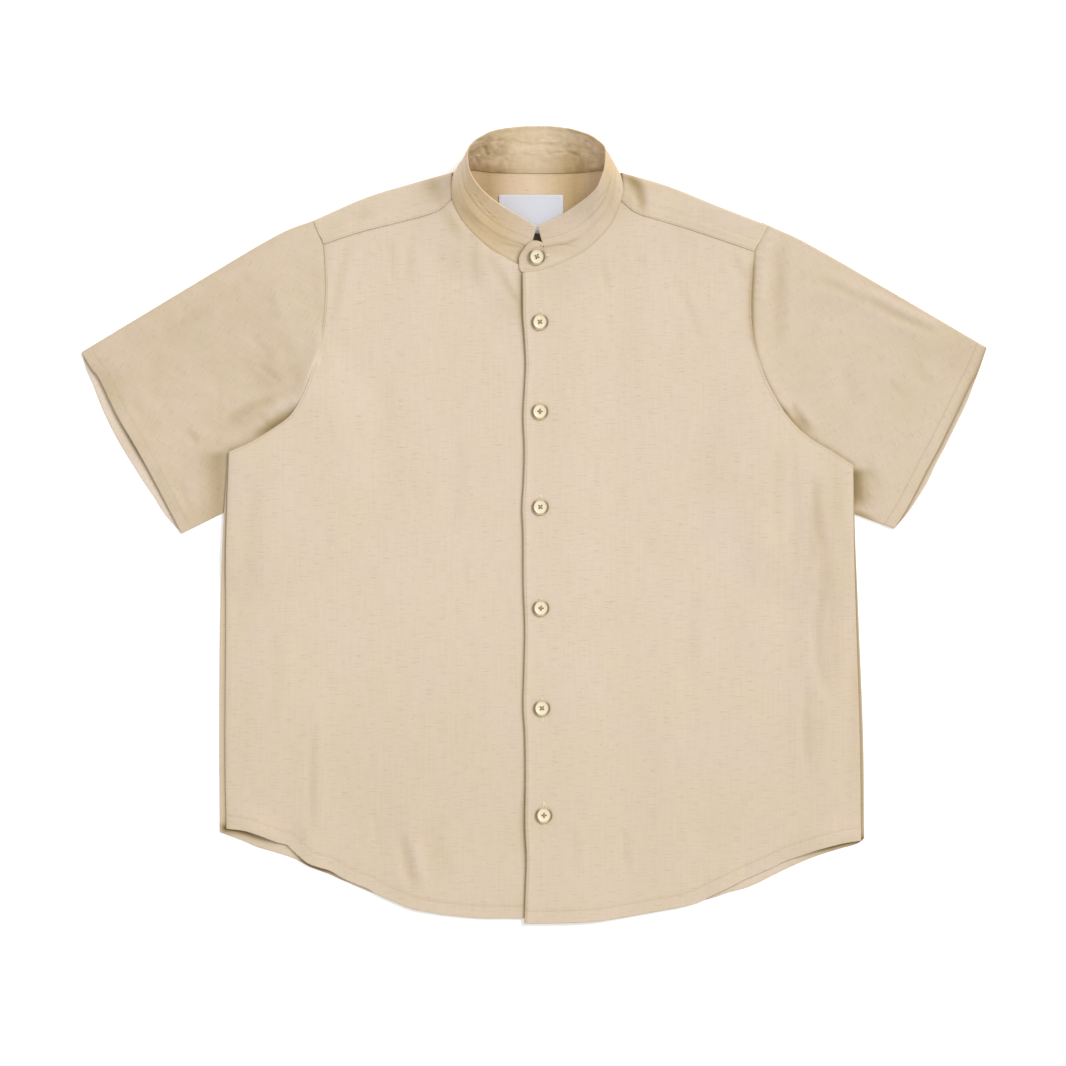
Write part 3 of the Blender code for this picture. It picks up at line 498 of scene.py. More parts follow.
class Shader:
    # A small helper that builds the node tree of one finish.
    def __init__(self, name):
        self.material = bpy.data.materials.new(name)
        self.material.use_nodes = True
        self.tree = self.material.node_tree

    def node(self, kind, inputs=(), **settings):
        return addNode(self.tree, kind, inputs, **settings)

    def done(self, inputs):
        surface = self.tree.nodes["Principled BSDF"]
        for place, value in inputs.items():
            if isinstance(value, bpy.types.NodeSocket):
                self.tree.links.new(value, surface.inputs[place])
            else:
                surface.inputs[place].default_value = value
        return self.material

    def math(self, operation, *values):
        return self.node("ShaderNodeMath", values, operation=operation)[0]

    def weighed(self, start, *pairs):
        # The sum of a start value and of each value times its weight.
        for value, weight in pairs:
            part = self.math("MULTIPLY", value, weight)
            start = part if start is None else self.math("ADD", start, part)
        return start

    def scaled(self, colour, amount):
        return self.node("ShaderNodeVectorMath", {0: colour, "Scale": amount}, operation="SCALE")[0]

    def place(self):
        # The piece's own cloth map, in millimetres.
        return self.scaled(self.node("ShaderNodeUVMap", uv_map="cloth")[0], 1 / mm)

    def noise(self, place, stretch, detail=2.0, roughness=0.5):
        # Noise whose grains are this long in each direction.
        sizes = (1 / stretch[0], 1 / stretch[1], 1.0)
        moved = self.node("ShaderNodeVectorMath", (place, sizes), operation="MULTIPLY")[0]
        inputs = {"Vector": moved, "Scale": 1.0, "Detail": detail, "Roughness": roughness}
        return self.node("ShaderNodeTexNoise", inputs, noise_dimensions="2D")[0]

    def between(self, value, low, high, start=0.0, end=1.0):
        inputs = (value, low, high, start, end)
        return self.node("ShaderNodeMapRange", inputs, interpolation_type="SMOOTHSTEP")[0]

    def mix(self, share, low, high):
        return self.node("ShaderNodeMix", {"Factor": share, "A": low, "B": high}, data_type="RGBA")["Result"]

    def bump(self, height, strength, distance):
        return self.node("ShaderNodeBump", {"Strength": strength, "Distance": distance, "Height": height})[0]


linen = {
    "colour": (0.724, 0.596, 0.460),
    # The collar's linen is painted darker and warmer, as painted shade on its standing walls.
    "collarShadeColour": (0.700, 0.566, 0.418),
    "yarnPitch": (0.62, 0.66),
    "slub": (13.0, 0.9),  # length and width
    "slubShare": (0.73, 0.82),
    "weaveDepth": 0.00010,
    "cool": (0.997, 1.003, 0.982),
    "warm": (1.003, 0.996, 1.014),
}


def linenFinish(name, colour):
    made = Shader(name)
    place = made.place()
    weft = made.noise(place, (14.0, 0.75), 2.0, 0.6)
    warp = made.noise(place, (0.8, 18.0), 2.0, 0.6)
    slubs = made.noise(place, linen["slub"], 0.0)
    thick = made.between(slubs, *linen["slubShare"])
    thin = made.between(slubs, 0.33, 0.24)
    dashes = made.between(made.noise(place, (5.0, 1.2), 0.0), 0.79, 0.87)
    clouds = made.noise(place, (48.0, 60.0))
    # Plain weave: the weft and warp yarns pass over each other in turn.
    yarns = []
    for axis, pitch in zip(made.node("ShaderNodeSeparateXYZ", [place]), linen["yarnPitch"]):
        yarns.append(made.math("SINE", made.math("MULTIPLY", axis, 2 * math.pi / pitch)))
    weave = made.math("MULTIPLY", *yarns)
    evened = {"weft": weft, "warp": warp, "streaks": made.noise(place, (2.6, 34.0)), "clouds": clouds}
    evened = {key: made.math("SUBTRACT", value, 0.5) for key, value in evened.items()}
    brightness = made.weighed(
        1.0, (evened["weft"], 0.03), (evened["warp"], 0.035), (thick, -0.085), (thin, 0.025), (dashes, -0.12),
        (evened["streaks"], 0.075), (evened["clouds"], 0.04), (weave, 0.010),
    )
    hues = [(*(c * k for c, k in zip(colour, linen[shift])), 1) for shift in ("cool", "warm")]
    lit = made.scaled(made.mix(made.between(clouds, 0.35, 0.65), *hues), brightness)
    # The piece's painted shade and painted light, with its random tone, read from its attribute.
    paintedShadeAndTone = made.node("ShaderNodeAttribute", attribute_name="paintedShadeAndTone")["Vector"]
    height = made.weighed(None, (weave, 0.35), (weft, 0.7), (warp, 0.5), (thick, 1.0))
    return made.done({
        "Base Color": made.node("ShaderNodeVectorMath", (lit, paintedShadeAndTone), operation="MULTIPLY")[0],
        "Roughness": made.between(weft, 0.2, 0.8, 0.84, 0.96),
        "Sheen Weight": 0.12,
        "Sheen Roughness": 0.45,
        "Specular IOR Level": 0.25,
        "Normal": made.bump(height, 0.5, linen["weaveDepth"]),
    })


def satinFinish(name, colour):
    made = Shader(name)
    place = made.place()
    fine, cross = made.noise(place, (0.35, 5.0)), made.noise(place, (6.0, 0.3))
    return made.done({
        "Base Color": made.scaled(colour, made.weighed(0.97, (fine, 0.04), (cross, 0.02))),
        "Roughness": made.between(fine, 0.2, 0.8, 0.35, 0.5),
        "Sheen Weight": 0.2,
        "Normal": made.bump(made.math("ADD", fine, cross), 0.3, 0.00005),
    })


def plainFinish(name, colour, roughness=0.8):
    made = Shader(name)
    at = made.node("ShaderNodeTexCoord")["Object"]
    fibres = made.node("ShaderNodeTexNoise", {"Vector": at, "Scale": 2600.0})[0]
    shown = made.scaled(colour, made.between(fibres, 0.3, 0.7, 0.88, 1.12))
    return made.done({"Base Color": shown, "Roughness": roughness})


finishes = {
    "linen": linenFinish("linen", linen["colour"]),
    "collar_linen": linenFinish("collar_linen", linen["collarShadeColour"]),
    "label": satinFinish("label", (0.70, 0.72, 0.78)),
    "size_tab": satinFinish("size_tab", (0.080, 0.042, 0.020)),
}


def armholeLine(side, start, end=None):
    whole = smoothLine(bodyCut["armhole"][side])
    return whole[start * perSpan : None if end is None else end * perSpan + 1]


collarCut = {
    # The collar stands on the neck seam. A station has the seam's point, the top edge's point and the rise.
    "right": (
        (-9.3, 239.5, 2, 276.5, 4.8), (-25, 247.4, -9.3, 283.7, 7.4), (-40, 256.7, -21.4, 290.3, 12.6),
        (-53.9, 268.3, -34.4, 298.4, 18.4), (-65.1, 280.9, -45.9, 307.6, 23.2),
        (-72.1, 292.5, -53.5, 316, 27.2), (-76.2, 302.5, -58.5, 324.5, 29.6), (-76.6, 314, -61.4, 336, 30.8),
        (-74.9, 324.3, -60.7, 346.8, 30.5), (-69.5, 329, -54.5, 355.5, 28.6),
        (-57.7, 330, -43.7, 362.4, 23.8), (-41.5, 328, -30.5, 366.6, 15.6), (-20, 327.1, -14.5, 368.9, 9.2),
        (2.8, 326.9, 2.8, 369.6, 6.5),
    ),
    "left": (
        (13, 238.5, 4, 277, 4.1), (25.5, 243.2, 14.5, 281.8, 5.2), (39.5, 249.5, 26.5, 287.6, 6.6),
        (52.3, 258.5, 38, 295, 10.4), (63.5, 269.3, 49.5, 303, 16.8), (73, 282, 58.5, 312, 22.6),
        (80.6, 300.5, 64, 324.5, 27), (82.5, 312.5, 66.3, 337, 28.6), (81, 323.5, 66, 348, 28.8),
        (74, 328.3, 59, 356.5, 27), (61, 329.5, 46.5, 363, 22), (44, 327.8, 32, 367.2, 13.6),
        (24, 327.1, 17.5, 369.2, 8.4), (2.8, 326.9, 2.8, 369.6, 6.5),
    ),
    "yokeStation": 6,
    "foldStation": 8,
    "standShare": (0.48, 0.41, 0.345, 0.325, 0.335, 0.36, 0.39, 0.42),
    "warmth": 0.16,
    "thickness": 1.6,
    "underlapMid": 3.3,
    "tabMid": 5.5,
    "tabSlope": 0.13,
    # The ends past the centre front: plan points of the neck seam and of the upper edge.
    "underlapEnd": (((20, 235.6), (19, 255.2)), ((6, 236.4), (7.5, 256.6))),
    "tabEnd": (
        ((2, 235.7), (8.1, 260.8)), ((-2.5, 234.9), (2, 263)), ((-6, 234.5), (-3.9, 262)),
        ((-9, 234.4), (-8.8, 256)), ((-11.8, 235.4), (-12.3, 250.8)), ((-13.4, 238.6), (-13.9, 246)),
    ),
    "bandEnd": {"right": ((-3.2, 258.4), (2.2, 276.4)), "left": ((9.2, 257.6), (3.6, 276.9))},
    "bulge": 0.9,
    "topStitch": 0.35,  # of the band's height
}


def offCollar(side, index):
    # The neckline at a station, clear of the wall that stands there.
    stations = collarCut[side]
    before, station, after = (stations[min(max(index + k, 0), len(stations) - 1)] for k in (-1, 0, 1))
    way = (after[0] - before[0], after[1] - before[1])
    upright = station[4] / math.hypot(math.dist(station[:2], station[2:4]), station[4])
    away = (0.1 + collarCut["thickness"] / 2 * upright) / math.hypot(*way)
    if (side == "left") == (index <= collarCut["foldStation"]):
        away = -away
    return (station[0] - way[1] * away, station[1] + way[0] * away)


def gridPoints(plan, z):
    return np.concatenate([plan, z[..., None]], axis=-1)


def frontPanel(side):
    cut, isLeft = bodyCut, side == "left"
    lap = float(isLeft)
    gap = np.array([0.0, -layers["gap"]])
    neck = [offCollar(side, index) for index in range(collarCut["yokeStation"], -1, -1)]
    crossing = collarCut["tabEnd"][0][0] if isLeft else collarCut["underlapEnd"][1][0]
    lapEdge = smoothLine(cut["placketEdge"])
    centre = lapEdge if isLeft else smoothLine(cut["underlapEdge"])
    seam = smoothLine((*cut["yokeSeam"][side], neck[0])) + gap
    neckline = smoothLine([seam[-1], *neck[1:], np.add(crossing, gap), centre[-1]])
    sideLine = smoothLine(cut["frontSide"][side])
    armhole = armholeLine(side, cut["yokePoint"])[::-1].copy()
    armhole[-1] = seam[0]
    nearCentre = ((lineEnd, 0.4),) if isLeft else ((lineEnd, 0.8), (-30.5, 0.55))
    seamTop = stepped(seam, cut["step"], ((0, 0.5),))
    top = np.vstack([seamTop[:-1], stepped(neckline, cut["step"], nearCentre)])
    lowRows = stepped(sideLine, cut["step"], ((0, 0.4), (cut["hemWidth"], 0.6), (lineEnd, 0.9)))
    outer = np.vstack([lowRows[:-1], stepped(armhole, cut["step"], ((0, 0.9), (lineEnd, 0.4)))])
    hem = pick(smoothLine(cut["frontHem"][side]), shares(top))
    middle = pick(centre, shares(outer))
    plan = patch(hem, top, outer, middle)
    x, y = plan[..., 0], plan[..., 1]

    untucked = (len(cut["armhole"][side]) - 1 - cut["tuckPoint"]) * perSpan
    toClosing = distanceTo(plan, np.vstack([sideLine, armhole[:untucked]]))
    toHem, toCentre, toArmhole, toTop, toSeam = (
        distanceTo(plan, line) for line in (hem, middle, armhole, top, seam)
    )
    edge = ease(toClosing / layers["edgeFade"]) * (0.35 + 0.65 * ease(toHem / layers["hemFade"]))
    calm = ease(toClosing / 12) * ease(toTop / 5) * (0.5 + 0.5 * ease(toHem / 12))
    z = frontTop(x, y, lap, edge) + bodyRelief(x, y) * calm
    hemBand = 1 - ease(toHem, cut["hemWidth"] - 0.8, 1.6)
    hemGroove = bell(toHem - cut["hemWidth"], 1)
    lift = sum(height * (1 - ease(abs(x - at) / half)) for at, half, height in cut["hemLift"][side])
    z = z + 0.22 * hemBand - 0.20 * hemGroove + lift * (1 - ease(toHem / 30))
    # The seams roll down to what they are sewn to.
    sewn = seamDepth(side, y)
    z = z - 0.7 * sewn * fade(toArmhole, 1.0) - 0.9 * fade(toClosing, 2.2) - 0.6 * fade(toSeam, 0.9)
    # Painted shade and light in creases and hollows, and painted shade in the hem's groove, along the closed
    # edges, at the yoke seam and beside the armhole.
    tone = bodyTone(plan) * shadeTone(x, y, bodyCreases, bodyShades)
    tone *= (1 - 0.05 * hemGroove) * (1 - 0.10 * fade(toClosing, 1.5)) * (1 - 0.12 * fade(toSeam, 1.2))
    tone *= 1 - 0.13 * sewn * ease(y, 110, 20) * fade(toArmhole, 1.4)
    if isLeft:
        # The lap's edge stands up a little.
        z = z + 0.7 * fade(toCentre, 5.0) - 0.3 * fade(toCentre, 0.6)
        # Painted shade along the lap's edge, a faint painted highlight inside it, and painted shade beside
        # the armhole.
        tone *= (1 - 0.21 * fade(toCentre, 1.5)) * (1 + 0.03 * bell(toCentre - 4.0, 1.4))
        tone *= 1 - 0.33 * window(y, 158, 18, 236, 14) * fade(toArmhole, 2.8)
        tone *= 1 - 0.15 * (1 - ease(y, 165, 20)) * fade(toArmhole, 1.0)
    else:
        # The right front sinks beside the lap's edge.
        past = np.interp(y, lapEdge[:, 1], lapEdge[:, 0]) - x
        toLap = distanceTo(plan, lapEdge) * np.where(past > 0, 1, -1)
        amount = np.interp(y, *np.array(cut["lapShade"]).T)
        z = z - 0.45 * amount * bell(toLap - 0.6, 3.0) * (toLap > -6)
        # The painted shadow of the lap's edge on the right front.
        line = bell(np.maximum(toLap - 0.6, -0.2), 2.1 + 2.1 * ease(amount, 0.9, 0.4)) * (toLap > -8)
        tone *= 1 - 0.235 * amount * line
    facing = 1 - ease(toCentre, cut["facingWidth"][side], 3)
    thickness = cut["thickness"] + (cut["edgeThickness"] - cut["thickness"]) * np.maximum(hemBand, facing)

    # The allowance goes on under the yoke and the collar.
    away = outwards(top) * (-1 if isLeft else 1)
    wide = np.where(np.arange(len(top)) < len(seamTop), 1, 0.5)[:, None]
    extra = np.array([top + away * reach * wide for reach in cut["allowance"]])
    under = frontTop(extra[..., 0], extra[..., 1], lap) - layers["wall"] - 0.35
    points = np.concatenate([gridPoints(plan, z), gridPoints(extra, under)])
    quads = gridQuads(*points.shape[:2])
    # The allowance is painted darker, for the shade it lies in under the yoke and the collar.
    made = clothShell(
        f"front_{side}", points, quads[:, ::-1] if isLeft else quads,
        np.concatenate([thickness, np.full(under.shape, 0.5)]), np.concatenate([tone, bodyTone(extra) * 0.7]),
    )
    return made, gridPoints(plan, z)


def bodyTone(plan):
    # A little darker low down, at the shoulders and at the sides.
    x, y = plan[..., 0], plan[..., 1]
    atSides = ease(abs(x - 5), 190, 110)
    return 1.0 - 0.05 * ease(-y, 40, 260) - 0.025 * ease(y, 215, 60) - 0.02 * atSides


def seamDepth(side, y):
    # Part of each armhole is pressed so flat that it hardly shows.
    if side == "left":
        return 0.8 - 0.45 * window(y, 104, 12, 160, 20)
    return 0.06 + 0.75 * ease(y, 165, 18) + 0.94 * (1 - ease(y, 96, 14))


def backPanel():
    cut, step = bodyCut, bodyCut["backStep"]
    lowShares, armShares = stepShares(640, step, ((0, 0.5), (10.0, 0.7))), stepShares(190, step)
    edges = []
    for side in sides:
        sideLine, armhole = smoothLine(cut["backSide"][side]), armholeLine(side, cut["backYokePoint"])[::-1]
        edges.append(np.vstack([pick(sideLine, lowShares)[:-1], pick(armhole, armShares)]))
    top = stepped(np.array([edge[-1] for edge in edges]), step, ((0, 0.6), (lineEnd, 0.6)))
    hem = pick(smoothLine(cut["backHem"]), shares(top))
    plan = patch(hem, top, *edges)
    x, y = plan[..., 0], plan[..., 1]
    z = layers["cornerLift"] * cornerShare(x, y) + 0.35 * fade(distanceTo(plan, *edges), 0.9)
    thickness = cut["thickness"] + 0.45 * (1 - ease(distanceTo(plan, hem), cut["backHemWidth"] - 0.8, 1.6))
    # Inside it gets painted shade where the front's hem and sides lie over it, most where the front's hem
    # stands off; a negative hem value paints light.
    tone = bodyTone(plan)
    inside = tone
    for side, amount in (("right", 0.26), ("left", 0.42)):
        deep = np.interp(x, *np.array(cut["hemShade"][side]).T)
        inside = inside * (1 - deep * bell(distanceTo(plan, smoothLine(cut["frontHem"][side])), 4.2, 1.5))
        inside = inside * (1 - amount * bell(distanceTo(plan, smoothLine(cut["frontSide"][side])), 3.4, 1.5))
    return clothShell("back", gridPoints(plan, z), gridQuads(*z.shape)[:, ::-1], thickness, tone, inside)


sleeveCut = {
    "fold": {
        "right": ((-205.5, 282.3), (-240, 268.3), (-314, 224.6), (-420.4, 160.4)),
        "left": ((217.6, 278.1), (254.8, 260.9), (329.2, 218.1), (420.6, 164.6)),
    },
    "underFold": {
        "right": ((-252, 30), (-287.4, 11.5), (-327.2, -8.3)),
        "left": ((262, 24), (300, 9), (334.5, -4)),
    },
    "tucked": {"right": ((-239, 66), (-252, 30)), "left": ((247, 62), (262, 24))},
    "cuffFront": {
        "right": (
            (-420.4, 160.4), (-411, 145), (-403.5, 135), (-387.4, 102), (-374, 79), (-360.7, 55.8),
            (-346.5, 29.1), (-327.2, -8.3),
        ),
        "left": (
            (420.6, 164.6), (412, 143.7), (402.2, 125.1), (393.4, 106.5), (384.1, 87.9), (374.8, 69.3),
            (364.6, 50.7), (355.3, 32.1), (345.6, 13.8), (334.5, -4),
        ),
    },
    "cuffBack": {
        "right": (
            (-420.4, 160.4), (-415.7, 144.6), (-409.2, 129.7), (-403.6, 114.9), (-397.1, 100),
            (-389.7, 85.1), (-381.3, 70.2), (-372, 55.3), (-362.7, 40.5), (-352.5, 25.6), (-343.2, 10.7),
            (-327.2, -8.3),
        ),
        "left": (
            (420.6, 164.6), (413.9, 144.6), (408.3, 129.7), (402.7, 114.9), (395.7, 100), (388.3, 85.1),
            (380.8, 70.2), (372.9, 55.3), (366, 40.5), (357.1, 25.6), (346.9, 10.7), (334.5, -4),
        ),
    },
    "grain": {"right": math.radians(31), "left": math.radians(-29)},
    "mouthRise": 1.3,
    "hemWidth": 10.0,
    "thickness": 0.65,
    "turn": (0.0, 0.1, 0.35, 0.75, 1.25, 1.9),  # distances from a fold where its curve needs points
    "step": 2.5,
    "allowance": (0.9, 3.0, 6.0),
}

sleeveCreases = (
    (-247, 222, -238, 186, 3, 5, -0.4), (-238, 176, -221, 126, -3, 6, -0.36),
    (-262, 232, -284, 214, 2, 6, -0.3), (-268, 150, -244, 128, 2, 6, -0.26),
    (-258, 150, -236, 133, 0, 3, -0.45), (-262, 176, -246, 160, 2, 3, -0.35),
    (-270, 244, -290, 231, 1, 3, -0.35), (-324, 88, -313, 75, 0, 3.4, -0.6),
    (-286, 94, -240, 116, -3, 4.2, -0.85), (-250, 101, -220, 118, 0, 4.6, 0.8),
    (-258, 103, -247, 92, 0, 2.4, -0.3), (-246, 110, -238, 100, 0, 2.2, -0.25),
    (-352, 50, -330, 10, 3, 4, -0.45), (-330, 40, -318, 12, 2, 3.5, -0.4),
    (-372, 120, -352, 84, 2, 5, -0.25), (-300, 200, -350, 168, 2, 7, -0.3),
    (262, 227, 308, 206, -2, 4, -0.55), (304, 212, 374, 179, 2, 3.8, -0.86),
    (312, 218, 374, 188, 1, 5, 0.45), (229, 262, 227, 164, 3, 6, -0.6), (216, 262, 213, 205, 2, 5, 0.35),
    (240, 110, 257, 86, 2, 3.6, -0.85), (330, 130, 346, 118, 0, 4, -0.3), (352, 150, 372, 128, 2, 5, -0.28),
    (290, 150, 300, 110, 2, 7, -0.25), (310, 60, 322, 30, 2, 5, -0.3),
)
# Painted shade on the sleeves, where a negative amount paints light: centre, radii, turn in degrees, and
# amount.
sleeveShades = (
    (-266, 100, 24, 8, 26, 0.11), (-242, 94, 17, 5, 31, 0.2), (-248, 194, 12, 24, 12, 0.055),
    (-238, 142, 20, 20, 20, 0.055), (-300, 62, 14, 16, -8, 0.06), (-318, 84, 14, 10, -35, 0.02),
    (-270, 240, 30, 14, 28, -0.04), (-398, 132, 18, 24, 30, 0.09), (-330, 150, 60, 36, 30, 0.02),
    (-244, 150, 14, 34, 10, 0.05), (322, 200, 62, 7, -25, 0.03), (232, 226, 6, 42, 0, 0.045),
    (219, 250, 11, 10, 0, 0.03), (352, 168, 40, 16, -25, 0.02), (251, 94, 13, 5.5, -46, 0.15),
    (398, 158, 26, 24, 0, 0.09), (345, 209, 48, 7, -29, 0.11), (345, 120, 30, 24, 20, 0.02),
    (222, 268, 9, 12, 0, -0.04), (316, 184, 22, 9, -30, -0.03), (306, 8.5, 12, 3, -22, 0.3),
)


def sleeveHeight(side, x, y):
    # The upper face of the laid sleeve, before its edges turn down, and its relief.
    flat = layers["sleeveTop"] + foldHeight(x, y)
    z = layers["tuckedTop"] + (flat - layers["tuckedTop"]) * (1 - cornerShare(x, y))
    crumple = abs(softNoise(x, y, 15.0, 11)) * 0.30 + abs(softNoise(x, y, 8.0, 12)) * 0.14
    amount = 1.0 if side == "right" else 0.5
    relief = creaseHeight(x, y, sleeveCreases) * 1.35 + crumpleHeight(x, y) + crumple * amount
    return z, relief + unevenness(y, x) * 0.9


def besideBody(side, x, y):
    # The sleeve sinks where it slips under the body's side: 1 right beside it.
    off, low, high = (-294.0 - x, -4, 62) if side == "right" else (np.maximum(x - 297.0, 0), 24, 47)
    return (0.3 + 0.7 * ease(y, low - 12, 14)) * (1 - ease(y, high, 8)) * bell(abs(off), 12.0, 1.6)


def seamPuckers(side, y, toSeam):
    # Small gathers where the sleeve's head is eased into the armhole.
    if side == "right":
        amount, wave = 0.14 * ease(y, 190, 30), 7.5
    else:
        amount, wave = 0.40 * window(y, 196, 20, 262, 8), 8.0
    near = ease(toSeam / 2.5) * (1 - ease(toSeam, 6, 9))
    return amount * near * np.sin(2 * math.pi * y / wave + 1.3 * np.sin(y / 9.0))


def seamShade(side, y, toSeam):
    # The painted shade on the sleeve beside the armhole.
    if side == "right":
        line, reach = 0.09 * ease(y, 165, 25) - 0.18 * bell(y - 134, 24.0, 4), 6.5
        deep = 0.46 * bell(y - 95, 12.0, 4) + 0.16 * bell(y - 72, 12.0)
    else:
        line, reach = 0.10 + 0.20 * bell(y - 212, 40.0, 4) - 0.06 * ease(y, 250, 10), 4.0
        deep = 0.30 * bell(y - 98, 13.0, 4) + 0.12 * bell(y - 213, 34.0, 4) + 0.06 * bell(y - 68, 14.0)
    return line * bell(toSeam, 1.9) + deep * bell(toSeam, reach)


def foldTurn(toFold, half):
    # How far a fold's curve has come round at this distance from it.
    radius = np.maximum(half, 1.8)
    return np.sqrt(np.maximum(1 - (1 - np.minimum(toFold / radius, 1)) ** 2, 0))


def sleevePiece(side):
    cut, isRight = sleeveCut, side == "right"
    sign = -1 if isRight else 1
    seam = [(x + sign * layers["gap"], y) for x, y in bodyCut["armhole"][side]]
    arm = smoothLine(seam)[: bodyCut["tuckPoint"] * perSpan + 1]
    whole = np.vstack([arm[:-1], smoothLine((seam[bodyCut["tuckPoint"]], *cut["tucked"][side]))])
    length = lengths(whole)[-1]
    turn = np.array(cut["turn"])
    inner = stepShares(length - 2 * turn[-1], cut["step"]) * (length - 2 * turn[-1]) + turn[-1]
    across = np.concatenate([turn[:-1], inner, length - turn[-2::-1]]) / length
    armLine = pick(whole, across)
    fold = smoothLine((seam[0], *cut["fold"][side][1:]))
    down = stepShares(lengths(fold)[-1], cut["step"], ((0, 0.5), (lineEnd, 0.4), (-cut["hemWidth"] - 2, 0.8)))
    foldLine, underLine = pick(fold, down), pick(smoothLine(cut["underFold"][side]), down)
    upper, lower = (
        patch(armLine, pick(smoothLine(cut[cuff][side]), across), foldLine, underLine)
        for cuff in ("cuffFront", "cuffBack")
    )
    x, y = upper[..., 0], upper[..., 1]
    toCuff, toSeam = distanceTo(upper, upper[-1]), distanceTo(upper, smoothLine(seam))
    toFolds, toFoldsLow = (distanceTo(sheet, foldLine, underLine) for sheet in (upper, lower))

    plain, relief = sleeveHeight(side, x, y)
    beside = besideBody(side, x, y)
    openShare = ease(np.linspace(0, 1, len(down))[:, None], 0.5, 0.5) * np.sin(math.pi * across)[None]
    hemBand = 1 - ease(toCuff, cut["hemWidth"] - 0.7, 1.4)
    hemGroove = bell(toCuff - cut["hemWidth"], 0.9)
    height = plain + relief * ease(toFolds / 9) * (0.35 + 0.65 * ease(toCuff / 12))
    height = height + cut["mouthRise"] * openShare
    height = height + 0.14 * hemBand - 0.14 * hemGroove - 1.4 * beside + seamPuckers(side, y, toSeam)
    # Above the underarm the sleeve comes up level with the body.
    if isRight:
        height = height + 3.1 * window(y, 104, 16, 160, 26) * bell(toSeam, 9.0)
    else:
        height = height + 1.3 * window(y, 98, 14, 165, 20) * bell(toSeam, 8.0)
    height = np.maximum(height - 1.2 * seamDepth(side, y) * fade(toSeam, 1.3), 1.6)
    # Painted shade and light in creases and hollows, and painted shade beside the armhole, in the hem's
    # groove, at the cuff's edge and along the top fold.
    tone = shadeTone(x, y, sleeveCreases, sleeveShades, 1.2) * (1 - seamShade(side, y, toSeam))
    tone *= (1 - 0.03 * hemGroove) * (1 - 0.05 * fade(toCuff, 1.2))
    tone *= 1 - 0.07 * fade(distanceTo(upper, foldLine), 1.6)
    mottle = softNoise(x, y, 24.0, 31) * 0.5 + softNoise(x, y, 12.0, 32) * 0.35
    mottle += softNoise(x, y, 6.0, 33) * 0.2
    # Painted shade beside the body's side and a random mottle; the wearer's right sleeve is also darker all
    # over and lighter towards the armhole, and the left one gets a painted shadow along its cuff's edge.
    if isRight:
        tone *= (1 - 0.27 * beside) * (0.885 + 0.038 * ease(x, -268, 40) + 0.045 * mottle)
    else:
        tone *= (1 - 0.60 * beside) * (0.94 + 0.02 * mottle)
        tone *= 1 - 0.32 * ease(y, 60, 70) * fade(toCuff, 1.8)
    half = height / 2
    top, bottom = half + half * foldTurn(toFolds, half), half - half * foldTurn(toFoldsLow, half)

    # Inside the body the end of the tube goes on as the seam allowance.
    pastTuck = ease(across * length, lengths(arm)[-1] - 30, 30)
    inwards = outwards(armLine)
    inwards = np.where(inwards[:, :1] * sign > 0, -inwards, inwards)
    drop = 0.5 * (1 - pastTuck) * (1 - cornerShare(*armLine.T))
    sheets = []
    for sheet, z in ((upper, top), (lower, bottom)):
        rise = z[0] + (half[0] - z[0]) * drop
        extra = [gridPoints(armLine + inwards * reach, rise) for reach in reversed(cut["allowance"])]
        sheets.append(np.concatenate([extra, gridPoints(sheet, z)]))
    ring = np.concatenate([sheets[0], sheets[1][:, -2:0:-1]], axis=1)
    rows, around = ring.shape[:2]
    start = np.arange(rows - 1)[:, None] * around
    a, b = ((start + (np.arange(around) + step) % around).ravel() for step in (0, 1))
    quads = np.stack([a, b, b + around, a + around], axis=1)
    toCuffs, toMouth = distanceTo(ring, np.vstack([upper[-1], lower[-1][::-1]])), distanceTo(ring, upper[-1])
    thickness = cut["thickness"] + 0.45 * (1 - ease(toCuffs, cut["hemWidth"] - 0.7, 1.4))
    c, s = math.cos(cut["grain"][side]), math.sin(cut["grain"][side])
    # The back half is a little darker on this face.
    tones = np.full((rows, around), 0.97)
    tones[:, : len(across)] = tone[np.maximum(np.arange(rows) - len(cut["allowance"]), 0)]
    # Inside the mouth the back half is painted lighter, with a painted shadow of the front one's edge and a
    # faint painted shade across it near Y 72.
    dark = 0.22 + 0.38 * bell(ring[..., 1] - 74, 15) if isRight else 0.60
    inside = (1.09 if isRight else 1.04) - dark * bell(toMouth, 2.2, 1.5)
    inside = inside * (1 - 0.06 * bell(ring[..., 1] - 72, 20))
    quads = quads[:, ::-1] if isRight else quads
    alongGrain = ring[..., :2].reshape(-1, 2) @ [[s, c], [c, -s]]
    made = clothShell(f"sleeve_{side}", ring, quads, thickness, tones, inside, plan=alongGrain)
    return made, gridPoints(upper, top)


yokeTurn = np.array([0.0, 0.12, 0.45, 1.0, 1.7, 2.6, 3.6, 4.8])  # distances from the shoulder fold


